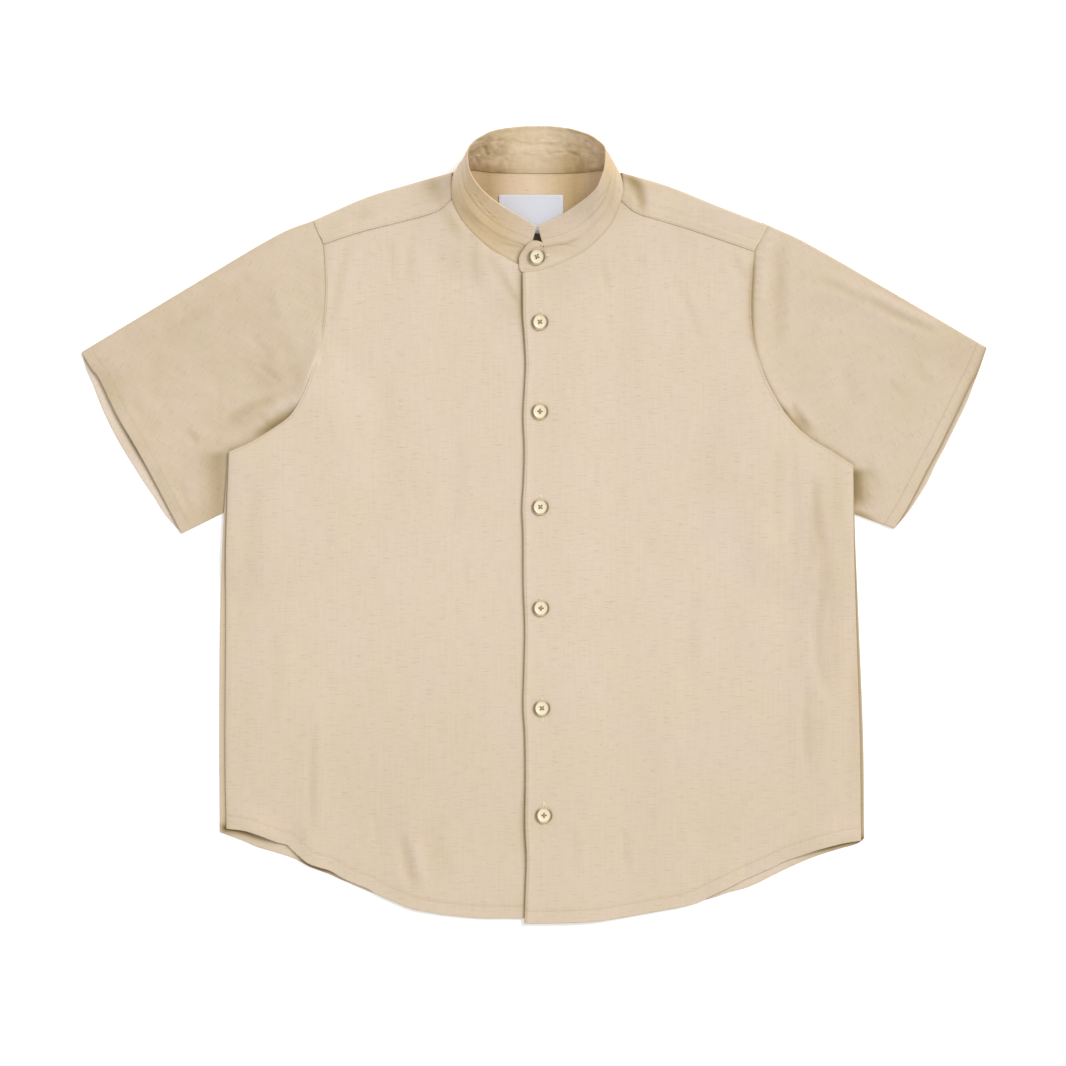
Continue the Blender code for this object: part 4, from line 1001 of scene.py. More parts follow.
def yokePiece():
    cut = bodyCut
    folds, heights, necks, edges = {}, {}, {}, {}
    for side in sides:
        fold = smoothLine(cut["shoulderFold"][side])
        folds[side] = stepped(fold, cut["step"], ((0, 0.5),))
        heights[side] = frontTop(*folds[side].T)
        backNeck = [offCollar(side, i) for i in range(collarCut["foldStation"] + 1, len(collarCut[side]))]
        necks[side] = stepped(smoothLine([fold[-1], *backNeck]), 2.0)
        edges[side] = armholeLine(side, 0, cut["backYokePoint"])[::-1].copy()
        edges[side][0, 1] += layers["gap"]
    neck = np.vstack([necks["right"], necks["left"][::-1][1:]])
    top = np.vstack([folds["right"][:-1], neck, folds["left"][::-1][1:]])
    length = lengths(edges["right"])[-1]
    inner = stepShares(length - yokeTurn[-1], 3.2) * (length - yokeTurn[-1])
    up = np.concatenate([inner, length - yokeTurn[-2::-1]]) / length
    right, left = (pick(edges[side], up) for side in sides)
    plan = patch(pick(np.array([right[0], left[0]]), shares(top)), top, right, left)
    rows, columns = plan.shape[:2]
    # Half the height that each column has at its shoulder, and nothing along the neck.
    half = np.zeros(columns)
    for side, fromSide in (("right", half), ("left", half[::-1])):
        count = len(folds[side])
        fromSide[:count] = heights[side] / 2
        for k in range(1, 4):
            fromSide[count - 1 + k] = heights[side][-1] / 2 * (1 - ease(k / 4))
    z = half[None] * (1 - foldTurn(distanceTo(plan, *folds.values()), half[None]))
    points, tones = [gridPoints(plan, z).reshape(-1, 3)], [bodyTone(plan).ravel() * 0.96]
    quads, strips = [gridQuads(rows, columns)[:, ::-1]], {}
    total = rows * columns
    for side in sides:
        strips[side], tone = shoulderStrip(side, folds[side], heights[side])
        added, width = strips[side][1:].reshape(-1, 3), strips[side].shape[1]
        first = np.arange(total - columns, total - columns + width)
        if side == "left":
            first = rows * columns - 1 - np.arange(width)
        index = np.vstack([first, total + np.arange(len(added)).reshape(-1, width)])
        corners = (index[:-1, :-1], index[:-1, 1:], index[1:, 1:], index[1:, :-1])
        faces = np.stack([corner.ravel() for corner in corners], axis=1)
        quads.append(faces[:, ::-1] if side == "right" else faces)
        points.append(added)
        tones.append(tone[1:].ravel())
        total += len(added)
    points, tones = np.vstack(points), np.concatenate(tones)
    # What shows inside the neck gets painted warm shade and painted light across it, and painted shade along
    # the neck seam.
    x, y = points[:, 0], points[:, 1]
    inNeck = 1 - ease(np.hypot((x - 2.8) / 80, (y - 300) / 62), 0.85, 0.2)
    inside = tones * (1 + (neckTone("yoke", x) - 1) * inNeck)
    inside *= 1 - 0.06 * inNeck * fade(distanceTo(points, neck), 1.6)
    warm = inNeck * (0.11 + 0.12 * ease(x, 12, 30))
    return clothShell("yoke", points, np.vstack(quads), 0.75, tones, inside, warm), strips


def shoulderStrip(side, foldLine, heights):
    neck = [offCollar(side, i) for i in range(collarCut["foldStation"] - 1, collarCut["yokeStation"] - 1, -1)]
    seam = smoothLine((*bodyCut["yokeSeam"][side], neck[-1]))
    inner, outer = smoothLine([foldLine[-1], *neck]), armholeLine(side, 0, bodyCut["yokePoint"])
    length = lengths(inner)[-1]
    rest = stepShares(length - yokeTurn[-1], 2.2, ((lineEnd, 0.35), (-8.0, 0.8))) * (length - yokeTurn[-1])
    steps = np.concatenate([yokeTurn[:-1], yokeTurn[-1] + rest]) / length
    plan = patch(foldLine, pick(seam, shares(foldLine)), pick(outer, steps), pick(inner, steps))
    x, y = plan[..., 0], plan[..., 1]
    toFold, toSeam, toArmhole = (distanceTo(plan, line) for line in (foldLine, seam, outer))
    # The allowance pressed towards the yoke lifts its edge a little.
    top = frontTop(x, y) + bodyRelief(x, y) * ease(toFold / 9) + 0.45 * (1 - ease(toSeam, 7.5, 2.5))
    top = top - 0.35 * fade(toSeam, 0.7) - 0.5 * fade(toArmhole, 1.0)
    half = heights[None] / 2
    z = half + (top - half) * foldTurn(toFold, half)
    # Painted shade and light in creases and hollows, and a faint painted highlight beside the yoke seam.
    tone = bodyTone(plan) * shadeTone(x, y, bodyCreases, bodyShades)
    return gridPoints(plan, z), tone * (1 + 0.03 * bell(toSeam - 1.6, 1))


def seamHeight(side, index):
    # The middle height of the collar's lower edge.
    x, y = np.array(collarCut[side][index][:2], float)[:, None]
    middle = collarCut["thickness"] / 2
    front = float(frontTop(x, y, float(side == "left"))[0]) - layers["wall"] + middle
    flat = middle + 0.1
    return flat + (front - flat) * float(1 - ease((index - collarCut["foldStation"] + 1) / 2))


def collarStations():
    lines = []
    for side in sides:
        half = []
        for index, (x, y, topX, topY, rise) in enumerate(collarCut[side]):
            low = seamHeight(side, index)
            if side == "left" and index <= 1:
                low = max(low, collarCut["tabMid"])
            share = collarCut["standShare"][min(index, len(collarCut["standShare"]) - 1)]
            half.append([x, y, low, topX, topY, low + rise, share])
        lines += half if side == "right" else half[-2::-1]
    return np.array(lines)


collarCreases = (
    (-30, 260.5, -11, 256.5, 0, 1.7, -0.4), (-24, 253.5, -12, 252, 0, 1.3, -0.22),
    (16, 258.5, 38, 257.5, -1.5, 1.4, -0.35), (-69, 296, -50, 274, 1, 2.6, -0.22),
    (58, 291, 66, 304, 0, 2, -0.2), (-56, 305.3, -52.3, 302.2, 0.3, 0.8, -0.65),
    (-52, 299, -48, 294.4, -0.2, 0.8, -0.55), (-45.2, 291.6, -40, 287, 0.3, 0.8, -0.6),
    (-38.5, 285, -34, 282.6, 0, 0.8, -0.5), (47.5, 287, 56.5, 296.2, -0.6, 0.9, -0.4),
    (56.5, 296.2, 67, 309, -0.5, 0.9, -0.55), (67, 309, 71, 319.5, 0, 0.9, -0.4),
)
# Painted shade on the collar, where a negative amount paints light: centre, radii, turn in degrees, and
# amount.
collarShades = (
    (-60, 288, 15, 9, -50, 0.03), (-36, 280, 14, 6, -45, 0.05), (-25, 266, 22, 17, -35, 0.1),
    (-70, 325, 9, 24, 0, -0.22), (44, 281, 22, 18, 40, -0.05), (14, 243, 20, 6, 12, -0.08),
    (72, 322, 7, 24, 0, 0.05), (70, 303, 8, 16, 10, 0.06), (36, 337, 14, 8, -10, 0.09),
    (42, 359, 13, 6, -15, -0.08), (-30, 362, 14, 4, 12, 0.08), (-54, 349, 7, 10, 0, -0.05),
    (57, 332, 5, 8, 0, -0.1), (-79, 298, 6, 12, -35, 0.05), (79, 284, 6, 22, 25, 0.05),
)
neckCreases = (
    (-17, 356, 7, 353.5, 1, 1.3, -0.4), (5, 353, 29, 355.5, 1, 1.3, -0.4),
    (11, 343, 31, 346.5, -1, 1.4, -0.4), (29, 347.5, 43, 342, 0, 1.5, -0.6),
    (48.5, 358, 49.5, 347, 1, 1.4, -0.55), (48.5, 342, 48, 331, 0, 1.4, 0.4),
    (-46, 352, -42, 342, 1, 1.6, -0.6), (-56, 343, -50, 334, 0, 1.4, -0.4),
    (-34, 351, -24, 350, 0, 1.6, -0.3),
)
# Painted shade inside the collar behind the neck, where a negative amount paints light: centre, radii, turn
# in degrees, and amount.
neckShades = (
    (-44.5, 348, 4.5, 3.5, 0, 0.13), (-41, 331.5, 9, 4, 8, 0.12), (-51, 347, 5, 7, 0, -0.1),
    (42, 340, 5, 3.5, 0, 0.1), (42, 334, 14, 6, 0, 0.06), (22, 349, 13, 7, 0, -0.08),
    (30, 360, 22, 9, -12, -0.15), (56, 336, 5, 12, 0, -0.12), (-13, 349, 9, 6, 0, -0.04),
)
# The painted shade and painted light in the hollow behind the neck, across it, on the collar's wall and on
# the yoke.
neckTones = {
    "wall": (
        (-60, 0.92), (-48, 0.84), (-32, 0.86), (-14, 1.03), (5, 1.07), (20, 0.9), (42, 0.86), (50, 1.08),
        (60, 1.2),
    ),
    "yoke": (
        (-60, 0.8), (-50, 0.74), (-42, 0.68), (-33, 0.82), (-22, 0.98), (0, 1.09), (14, 0.97), (24, 0.84),
        (38, 0.76), (44, 0.92), (50, 1.16), (60, 1.24),
    ),
}


def neckTone(name, x):
    return np.interp(x, *np.array(neckTones[name]).T)


def wornRelief(x, rise, total):
    # Behind the neck the collar is soft and creased from wear on the hanger.
    wave = total * (0.77 + 0.058 * np.sin(x / 15.0) + 0.035 * np.sin(x / 5.5 + 1))
    second = total * (0.63 + 0.07 * np.sin(x / 11.0 + 2))
    crease = -0.3 * (bell(rise - wave, 1.5) + bell(rise - second, 1.8)) * (0.4 + 0.6 * ease(x, -18, 20))
    rough = abs(softNoise(x, rise * 1.3, 9.0, 22)) * 0.7 + abs(softNoise(x, rise * 1.2, 5.0, 23)) * 0.4
    return (crease + rough) * ease(rise / total, 0.12, 0.35)


def neckShade(at, rise, total, worn):
    # The painted shade and painted light on the collar's inside behind the neck: a painted shadow at its
    # foot, painted shade at its ends and along its top edge, lighter on its worn ridges, with a random mottle
    # and painted shade and light in its creases.
    x, up = at[:, 0], rise / total
    out = abs(x - 3)
    rim = 0.08 * fade(rise, 0.9) + 0.32 * bell(rise, 4.6, 1.6)
    mottle = softNoise(x, rise, 4.2, 26) + 0.6 * softNoise(x, rise, 2.2, 28)
    ends = ease(up, 0.25, 0.3) * ease(out, 14, 32) * (1 - 0.75 * ease(x, 5, 20))
    tone = 1 - rim * (0.45 + 0.65 * ease(out, 15, 20))
    tone = tone * (1 + (neckTone("wall", x) - 1) * (1 - 0.75 * ease(up, 0.35, 0.65)))
    tone = tone * (1 + 0.14 * mottle * (0.2 + 0.8 * ease(out, 18, 12)))
    tone = tone * (1 - 0.24 * ends * (0.6 + softNoise(x, rise, 5.0, 25) * 0.6))
    tone = tone * (1 - 0.08 * fade(total - rise, 1.2)) * (0.945 + 0.05 * worn)
    return tone * shadeTone(x, at[:, 1], neckCreases, neckShades, 2.3)


def wallPiece(name, low, high, v, wrinkle, part):
    # A standing band of cloth between a lower and an upper line of points: this part of the whole height.
    middle = low[:, None] * (1 - v[None, :, None]) + high[:, None] * v[None, :, None]
    columns, rows = middle.shape[:2]
    quads, flat = gridQuads(columns, rows), middle.reshape(-1, 3)
    x, y = flat[:, 0], flat[:, 1]
    inwards = -normals(flat, quads)
    height = np.linalg.norm(high - low, axis=1)
    u, w = np.repeat(lengths((low + high) / 2), rows), (v[None] * height[:, None]).ravel()
    height = np.repeat(height, rows)
    push, tone = wrinkle(flat, u, w, height, np.tile(v, columns))
    behind = ease(y, 310, 14)
    total = height / (part[1] - part[0])
    rise = part[0] * total + w
    worn = wornRelief(x, rise, total) * behind
    push = push + worn - creaseHeight(x, y, collarCreases) + creaseHeight(x, y, neckCreases) * behind
    # Painted shade and light in the collar's creases and hollows, and a little darker towards the wearer's
    # left.
    tone = tone * shadeTone(x, y, collarCreases, collarShades, 2.0) * (1 - 0.02 * ease(x, 5, 30))
    thick = collarCut["thickness"] - 0.2
    points = flat + inwards * (thick / 2 + push)[:, None]
    # The wearer's right and the back of the neck get painted warm shade.
    back = ease(y, 312, 22)
    warm = collarCut["warmth"] * (ease(-x, 5, 40) * (1 - back) + (0.45 + 0.5 * ease(x, 15, 30)) * back)
    neckSide = tone * (1 + (neckShade(flat, rise, total, worn) - 1) * behind)
    plan = np.stack([u, rise], axis=1)
    made = clothShell(name, points, quads[:, ::-1], thick, neckSide, tone, warm, plan, "collar_linen")
    # Its outer face, where the sewing lies.
    return made, (points - inwards * (thick + 0.05)).reshape(columns, rows, 3)


def seamShown(x):
    # The seam between stand and band is pressed flat except near the ends of the collar.
    return np.where(x < 0, 0.35 + 0.75 * ease(x, -60, 15), 1.5 - 1.3 * ease(x, 33, 10))


def standWrinkle(at, u, w, height, v):
    x, y, z = at.T
    bulge = collarCut["bulge"] * 0.5 * np.sin(math.pi * v) * (1 - 0.95 * ease(y, 305, 18))
    # Beside the button tab the right end gets a painted shadow of it.
    tab = collarCut["tabEnd"]
    outline = smoothLine([*(end[1] for end in tab), tab[-1][0], (-11.2, 233.0)])
    shade = 0.48 * bell(distanceTo(at, outline), 2.7) * (u < u.max() * 0.3)
    seam = fade(height - w, 1.1) * seamShown(x) * ease(y, 300, -30)
    rough = softNoise(u, w * 1.4, 16.0, 21) * 0.3 * ease((height - w) / 4)
    # Painted shade at the foot of the stand at the front and along its seam with the band.
    tone = (1 - shade) * (1 - 0.10 * fade(w, 0.8) * (z > 3.5)) * (1 - 0.14 * seam)
    return bulge + rough + 0.25 * fade(w, 0.8) + 0.3 * seam, tone


def bandWrinkle(at, u, w, height, v):
    x, y = at[:, 0], at[:, 1]
    bulge = collarCut["bulge"] * np.sin(math.pi * v) * (1 - 0.95 * ease(y, 318, 20))
    front = ease(y, 345, -30)
    line = bell((v - collarCut["topStitch"]) * height, 0.8) * (0.3 + 0.9 * ease(y, 274, 12)) * front
    seam = fade(w, 1.1) * seamShown(x) * front
    push = bulge + 0.35 * line + front * softNoise(u, w * 1.5, 15.0, 24) * 0.35 + 0.3 * seam
    # Painted shade along the top stitching and the seam, and a painted highlight along the top edge at the
    # front.
    return push, (1 - 0.13 * line) * (1 - 0.14 * seam) * (1 + 0.05 * front * fade(height - w, 1.2))


def tabHeight(y):
    return collarCut["tabMid"] + collarCut["tabSlope"] * (y - collarCut["tabEnd"][0][0][1])


standShares = stepShares(17.5, 1.9, ((0, 0.4), (lineEnd, 0.4)))
bandShares = stepShares(24.0, 2.0, ((0, 0.4), (12.0, 0.5), (lineEnd, 0.35)))


def collarPieces():
    cut, behindShare = collarCut, collarCut["standShare"][-1]
    fine = smoothLine(collarStations())
    seam, top, share = fine[:, :3], fine[:, 3:6], fine[:, 6:]
    # Behind the neck the seam between stand and band doesn't show.
    gap = (0.14 - 0.8 * ease(seam[:, 1:2], 312, 12)) / np.linalg.norm(top - seam, axis=1, keepdims=True)
    z, slope = cut["underlapMid"], cut["tabSlope"]
    underlap = [[*low, z, *high, z + slope * (high[1] - low[1])] for low, high in cut["underlapEnd"]]
    tab = [[*low, tabHeight(low[1]), *high, tabHeight(high[1])] for low, high in cut["tabEnd"]]
    body = np.hstack([seam, seam + (top - seam) * (share - gap)])
    before = smoothLine(np.vstack([underlap, body[:1], body[perSpan : perSpan + 1]]))[: perSpan * 2]
    after = smoothLine(np.vstack([body[-perSpan - 1 : -perSpan], body[-1:], tab]))[perSpan + 1 :]
    whole = np.vstack([before, body, after])
    whole = whole[np.concatenate([[True], np.linalg.norm(np.diff(whole, axis=0), axis=1) > 0.05])]
    part = (0.0, behindShare)
    stand = wallPiece("collar_stand", whole[:, :3], whole[:, 3:], standShares, standWrinkle, part)
    low, high = seam + (top - seam) * (share + gap), top.copy()
    for side, way in (("right", 1), ("left", -1)):
        for line, end in zip((low[::way], high[::way]), cut["bandEnd"][side]):
            line[0, :2] = end
            line[1:perSpan] = line[0] + (line[perSpan] - line[0]) * np.linspace(0, 1, perSpan + 1)[1:-1, None]
    return stand, wallPiece("collar_band", low, high, bandShares, bandWrinkle, (behindShare, 1.0))


print("cutting the body")
frontPieces = {side: frontPanel(side) for side in sides}
back = backPanel()
print("setting the sleeves")
sleevePieces = {side: sleevePiece(side) for side in sides}
yoke, yokeStrips = yokePiece()
print("standing the collar")
collarStand, collarBand = collarPieces()

label = {"size": (59.5, 35.8), "centre": (-2.8, 288.5), "lowest": 1.5, "thickness": 0.35, "corner": 1.2}
sizeTab = {"size": (16.0, 12.0), "centre": (2.8, 264.3), "lowest": 1.5, "thickness": 0.5}


def tape(cut, columns, rows):
    # Where each point of a small tape is across and up it, and its place on the plan.
    u, v = np.meshgrid(np.linspace(-0.5, 0.5, columns), np.linspace(-0.5, 0.5, rows))
    return u, v, cut["centre"][0] + u * cut["size"][0], cut["centre"][1] + v * cut["size"][1]


def labelPiece():
    u, v, x, y = tape(label, 42, 26)
    # The corners are cut round, and the free lower edge curls up a little.
    dx, dy = ((0.5 - abs(share)) * size for share, size in zip((u, v), label["size"]))
    r = label["corner"]
    pull = np.maximum(np.hypot(r - dx, r - dy) - r, 0) * ((dx < r) & (dy < r)) * 0.7
    z = label["lowest"] + label["thickness"] + 0.5 * ease(0.5 - v) ** 2 + 0.15 * np.sin(u * 7 + 1) * (0.5 - v)
    z = z - 0.12 * bell(dy - 2.2, 0.7) * (v > 0)
    points = np.stack([x - np.sign(u) * pull, y - np.sign(v) * pull, z], axis=-1)
    return clothShell("neck_label", points, gridQuads(*u.shape), label["thickness"], slot="label"), points


def sizeTabPiece():
    u, v, x, y = tape(sizeTab, 14, 11)
    z = sizeTab["lowest"] + sizeTab["thickness"] + 0.25 * np.sin(2.6 * (v + 0.5)) + 0.12 * np.sin(9 * u)
    points = np.stack([x, y, z], axis=-1)
    return clothShell("size_tab", points, gridQuads(*u.shape), sizeTab["thickness"], slot="size_tab")


neckLabel, labelGrid = labelPiece()
sizeTabWorn = sizeTabPiece()

button = {
    "radius": 7.8,
    "depth": 2.3,
    "rim": 2.0,
    "dish": 0.5,
    "holeRadius": 0.85,
    "holeSpacing": 2.5,
    "places": ((5.6, 188.3), (5.6, 105.1), (6.0, 16.3), (6.5, -77.7), (7.4, -170.7), (9.3, -270.2)),
    "collarPlace": (2.8, 249.0),
    "turns": (0.35, 0.1, 0.75, 0.05, 0.72, 0.1, 0.8),
    "colour": (0.88, 0.78, 0.55),
    "rimShadeColour": (0.27, 0.175, 0.08),
    "bark": (0.60, 0.48, 0.30),
    "thread": (0.38, 0.29, 0.20),
}


def buttonFinish():
    made = Shader("button")
    place = made.node("ShaderNodeUVMap", uv_map="cloth")[0]
    radius = made.node("ShaderNodeVectorMath", [place], operation="LENGTH")["Value"]
    # The rim is tan at its top and bottom and dark brown at its left and right: partly the rim's own colour,
    # partly a painted shadow of the button's sides.
    across = made.math("ABSOLUTE", made.node("ShaderNodeSeparateXYZ", [place])[0])
    grain = made.between(made.math("DIVIDE", across, made.math("ADD", radius, 0.00001)), 0.3, 0.9)
    swirl = made.noise(made.place(), (2.5, 6.0), 3.0)
    face, bark, rim = ((*button[part], 1) for part in ("colour", "bark", "rimShadeColour"))
    shown = made.mix(made.between(radius, 5.6 * mm, 6.3 * mm), face, made.mix(grain, bark, rim))
    return made.done({
        "Base Color": made.scaled(shown, made.between(swirl, 0.2, 0.8, 0.94, 1.06)),
        "Roughness": made.between(swirl, 0.2, 0.8, 0.25, 0.38),
        "Coat Weight": 0.3,
    })


def lathed(profile, turns):
    # Rings of points round Z, closed at both ends.
    angles = np.arange(turns) * 2 * math.pi / turns
    points = np.array([(r * math.cos(a), r * math.sin(a), z) for r, z in profile for a in angles])
    faces, last = [], len(points) - turns
    for first in range(0, last, turns):
        for a, b in ((first + k, first + (k + 1) % turns) for k in range(turns)):
            faces.append((a, b, b + turns, a + turns))
    return points, [*faces, tuple(range(last, last + turns)), tuple(range(turns - 1, -1, -1))]


def asMesh(made):
    # What an object's modifiers make of it.
    graph = bpy.context.evaluated_depsgraph_get()
    return bpy.data.meshes.new_from_object(made.evaluated_get(graph))


def buttonMesh():
    # A turned profile with a soft rim and a shallow dish, and four holes right through.
    r, d = button["radius"], button["depth"]
    inner, floor = r - button["rim"], d - button["dish"]
    parts = [lathed((
        (r - 1.6, 0), (r - 0.7, 0.25), (r - 0.15, 0.9), (r, 1.6), (r - 0.12, 2.1), (r - 0.45, d - 0.12),
        (r - 0.9, d), (inner + 0.1, d - 0.08), (inner - 0.4, d - 0.3), (inner - 1, floor),
        (2.6, floor - 0.05),
    ), 56)]
    reach = button["holeSpacing"] / math.sqrt(2)
    for angle in (math.radians(45 + 90 * k) for k in range(4)):
        drill, faces = lathed([(button["holeRadius"], z) for z in (-3.0, 8.0)], 16)
        parts.append((drill + (reach * math.cos(angle), reach * math.sin(angle), 0), faces))
    made = []
    for number, (points, faces) in enumerate(parts):
        mesh = bpy.data.meshes.new(f"turning_{number}")
        mesh.from_pydata(points.tolist(), [], faces)
        made.append(placed(mesh.name, mesh))
    for drill in made[1:]:
        hole = made[0].modifiers.new("hole", "BOOLEAN")
        hole.operation = "DIFFERENCE"
        hole.object = drill
    drilled = asMesh(made[0])
    for helper in made:
        bpy.data.objects.remove(helper)
    return drilled


def threadPoints():
    # The sewing thread: three strands from hole to hole, both ways, that dip into the holes.
    points, faces, ply = [], [], 6
    s = np.linspace(-1, 1, 9)
    run, top = s * button["holeSpacing"] / math.sqrt(2), button["depth"] - button["dish"]
    rise = top + 0.12 + 0.32 * np.sqrt(np.maximum(1 - s**2, 0)) - 1.3 * (abs(s) > 0.98)
    for turn in (math.radians(45), math.radians(135)):
        for strand in (-0.42, 0.0, 0.42):
            first = len(points)
            for on, z in zip(run, rise):
                for around in np.arange(ply) * 2 * math.pi / ply:
                    off = strand + 0.22 * math.cos(around)
                    x = on * math.cos(turn) - off * math.sin(turn)
                    y = on * math.sin(turn) + off * math.cos(turn)
                    points.append((x, y, z + 0.22 * math.sin(around)))
            for start in range(first, len(points) - ply, ply):
                for a, b in ((start + k, start + (k + 1) % ply) for k in range(ply)):
                    faces.append((b, a, a + ply, b + ply))
            faces.append(tuple(range(first, first + ply)))
            faces.append(tuple(range(len(points) - 1, len(points) - 1 - ply, -1)))
    return points, faces


def surfaceTree(grid):
    flat = grid.reshape(-1, 3)
    return planTree(flat), flat


def onSurface(surface, x, y):
    # The height of the cloth at a plan point, from the grid points round it.
    tree, flat = surface
    found = tree.find_n((x, y, 0.0), 4)
    weights = np.array([1 / (near[2] + 0.05) ** 2 for near in found])
    return float((flat[[near[1] for near in found], 2] * weights).sum() / weights.sum())


def sewOnButtons(grid):
    shape, finish = buttonMesh(), buttonFinish()
    (points, faces), threadFinish = threadPoints(), plainFinish("button_thread", button["thread"])
    surface, r = surfaceTree(grid), button["radius"]
    x, y = button["collarPlace"]
    seats = [(x, y, tabHeight(y) + 0.45, math.atan(collarCut["tabSlope"]))]
    rim = [(r * math.cos(a), r * math.sin(a)) for a in np.arange(8) * math.pi / 4]
    for x, y in button["places"]:
        seats.append((x, y, max(onSurface(surface, x + a, y + b) for a, b in rim) - 0.35, 0.0))
    for number, ((x, y, seat, tilt), turn) in enumerate(zip(seats, button["turns"]), start=1):
        place = Matrix.Scale(mm, 4) @ Matrix.Translation((x, y, seat)) @ Matrix.Rotation(tilt, 4, "X")
        mesh = shape.copy()
        mesh.name = f"button_{number}_worn"
        layer = mesh.uv_layers.new(name="cloth")
        spin = Matrix.Rotation(turn, 2)
        for loop in mesh.loops:
            layer.uv[loop.index].vector = spin @ mesh.vertices[loop.vertex_index].co.xy * mm
        thread = bpy.data.meshes.new(f"button_{number}_thread")
        thread.from_pydata(points, [], faces)
        for data, look in ((mesh, finish), (thread, threadFinish)):
            data.transform(place @ Matrix.Rotation(turn, 4, "Z"))
            data.shade_smooth()
            data.materials.clear()
            data.materials.append(look)
            piece = placed(data.name, data)
            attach(piece, "root")
            if data is mesh:
                data.set_sharp_from_angle(angle=math.radians(38))
                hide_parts(f"button_{number}")


sewOnButtons(frontPieces["left"][1])
print("buttons sewn on")

sewing = {
    "sizes": (2.7, 2.0, 0.42),  # a stitch's pitch, length and thickness
    "waver": 0.06,
    "colour": (0.60, 0.475, 0.32),
    "holeColour": (0.93, 0.83, 0.62),
    "slitShadeColour": (0.36, 0.26, 0.15),
    "labelColour": (0.78, 0.79, 0.82),
    "holeShifts": (0.8, -0.4, 0.4, -1.2, -1.2, 1.2),  # of each buttonhole along the lap, from its button
}


def stitchTree():
    # Stitches along a run of edges: each an ellipsoid that lies along the run, or across it when turned.
    tree = bpy.data.node_groups.new("stitches", "GeometryNodeTree")
    kinds = {"Geometry": "Geometry", "Pitch": "Float", "Length": "Float", "Width": "Float", "Turn": "Float"}
    for name, kind in {**kinds, "Waver": "Float", "Seed": "Int", "Thread": "Material"}.items():
        tree.interface.new_socket(name, in_out="INPUT", socket_type=f"NodeSocket{kind}")
    tree.interface.new_socket("Geometry", in_out="OUTPUT", socket_type="NodeSocketGeometry")

    def node(kind, inputs=(), **settings):
        return addNode(tree, kind, inputs, **settings)

    given = node("NodeGroupInput")
    run = node("GeometryNodeMeshToCurve", {"Mesh": given["Geometry"]})[0]
    spaced = node("GeometryNodeResampleCurve", {"Curve": run, "Length": given["Pitch"]}, mode="LENGTH")[0]
    tangent = node("GeometryNodeInputTangent")[0]
    along = node("FunctionNodeAlignRotationToVector", {"Vector": tangent}, axis="X")[0]
    less = node("ShaderNodeMath", (given["Waver"], -1.0), operation="MULTIPLY")[0]
    limits = {2: less, 3: given["Waver"], "Seed": given["Seed"]}
    waver = node("FunctionNodeRandomValue", limits, data_type="FLOAT")[1]
    turned = node("ShaderNodeMath", (given["Turn"], waver), operation="ADD")[0]
    angle = node("ShaderNodeCombineXYZ", {"Z": turned})[0]
    turns = {"Rotation": along, "Rotate By": angle}
    spin = node("FunctionNodeRotateRotation", turns, rotation_space="LOCAL")[0]
    ball = node("GeometryNodeMeshUVSphere", {"Segments": 8, "Rings": 5, "Radius": 0.5})[0]
    size = node("ShaderNodeCombineXYZ", (given["Length"], given["Width"], given["Width"]))[0]
    stitch = {"Points": spaced, "Instance": ball, "Rotation": spin, "Scale": size}
    real = node("GeometryNodeRealizeInstances", [node("GeometryNodeInstanceOnPoints", stitch)[0]])[0]
    finished = node("GeometryNodeSetMaterial", {"Geometry": real, "Material": given["Thread"]})[0]
    node("NodeGroupOutput", [finished])
    return tree


stitches = stitchTree()


def sew(name, runs, thread, seed, sizes=sewing["sizes"], turn=0.0):
    # One piece of thread work along several runs of points.
    points, edges = [], []
    for run in runs:
        edges += [(len(points) + k, len(points) + k + 1) for k in range(len(run) - 1)]
        points += [tuple(float(c) * mm for c in p) for p in run]
    mesh = bpy.data.meshes.new(name)
    mesh.from_pydata(points, edges, [])
    path = placed(name + "_path", mesh)
    live = path.modifiers.new("stitches", "NODES")
    live.node_group = stitches
    given = {"Turn": turn, "Waver": sewing["waver"], "Seed": seed, "Thread": thread}
    given.update(zip(("Pitch", "Length", "Width"), (size * mm for size in sizes)))
    for socket in stitches.interface.items_tree:
        if socket.in_out == "INPUT" and socket.name in given:
            live[socket.identifier] = given[socket.name]
    result = asMesh(path)
    bpy.data.objects.remove(path)
    result.shade_smooth()
    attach(placed(name, result), "root")


def laidOn(grid, line):
    # A plan line laid on a piece of cloth, a little sunk into it.
    surface, line = surfaceTree(grid), np.asarray(line, float)
    fine = pick(line, np.linspace(0, 1, int(lengths(line)[-1] / 1.6) + 2))
    return [(x, y, onSurface(surface, x, y) + sewing["sizes"][2] / 2 - 0.1) for x, y in fine]


def inside(line, away):
    # A line moved to its left by this much, without its last bit at each end.
    line = pick(line, np.linspace(0.004, 0.996, 120))
    return line + outwards(line) * away


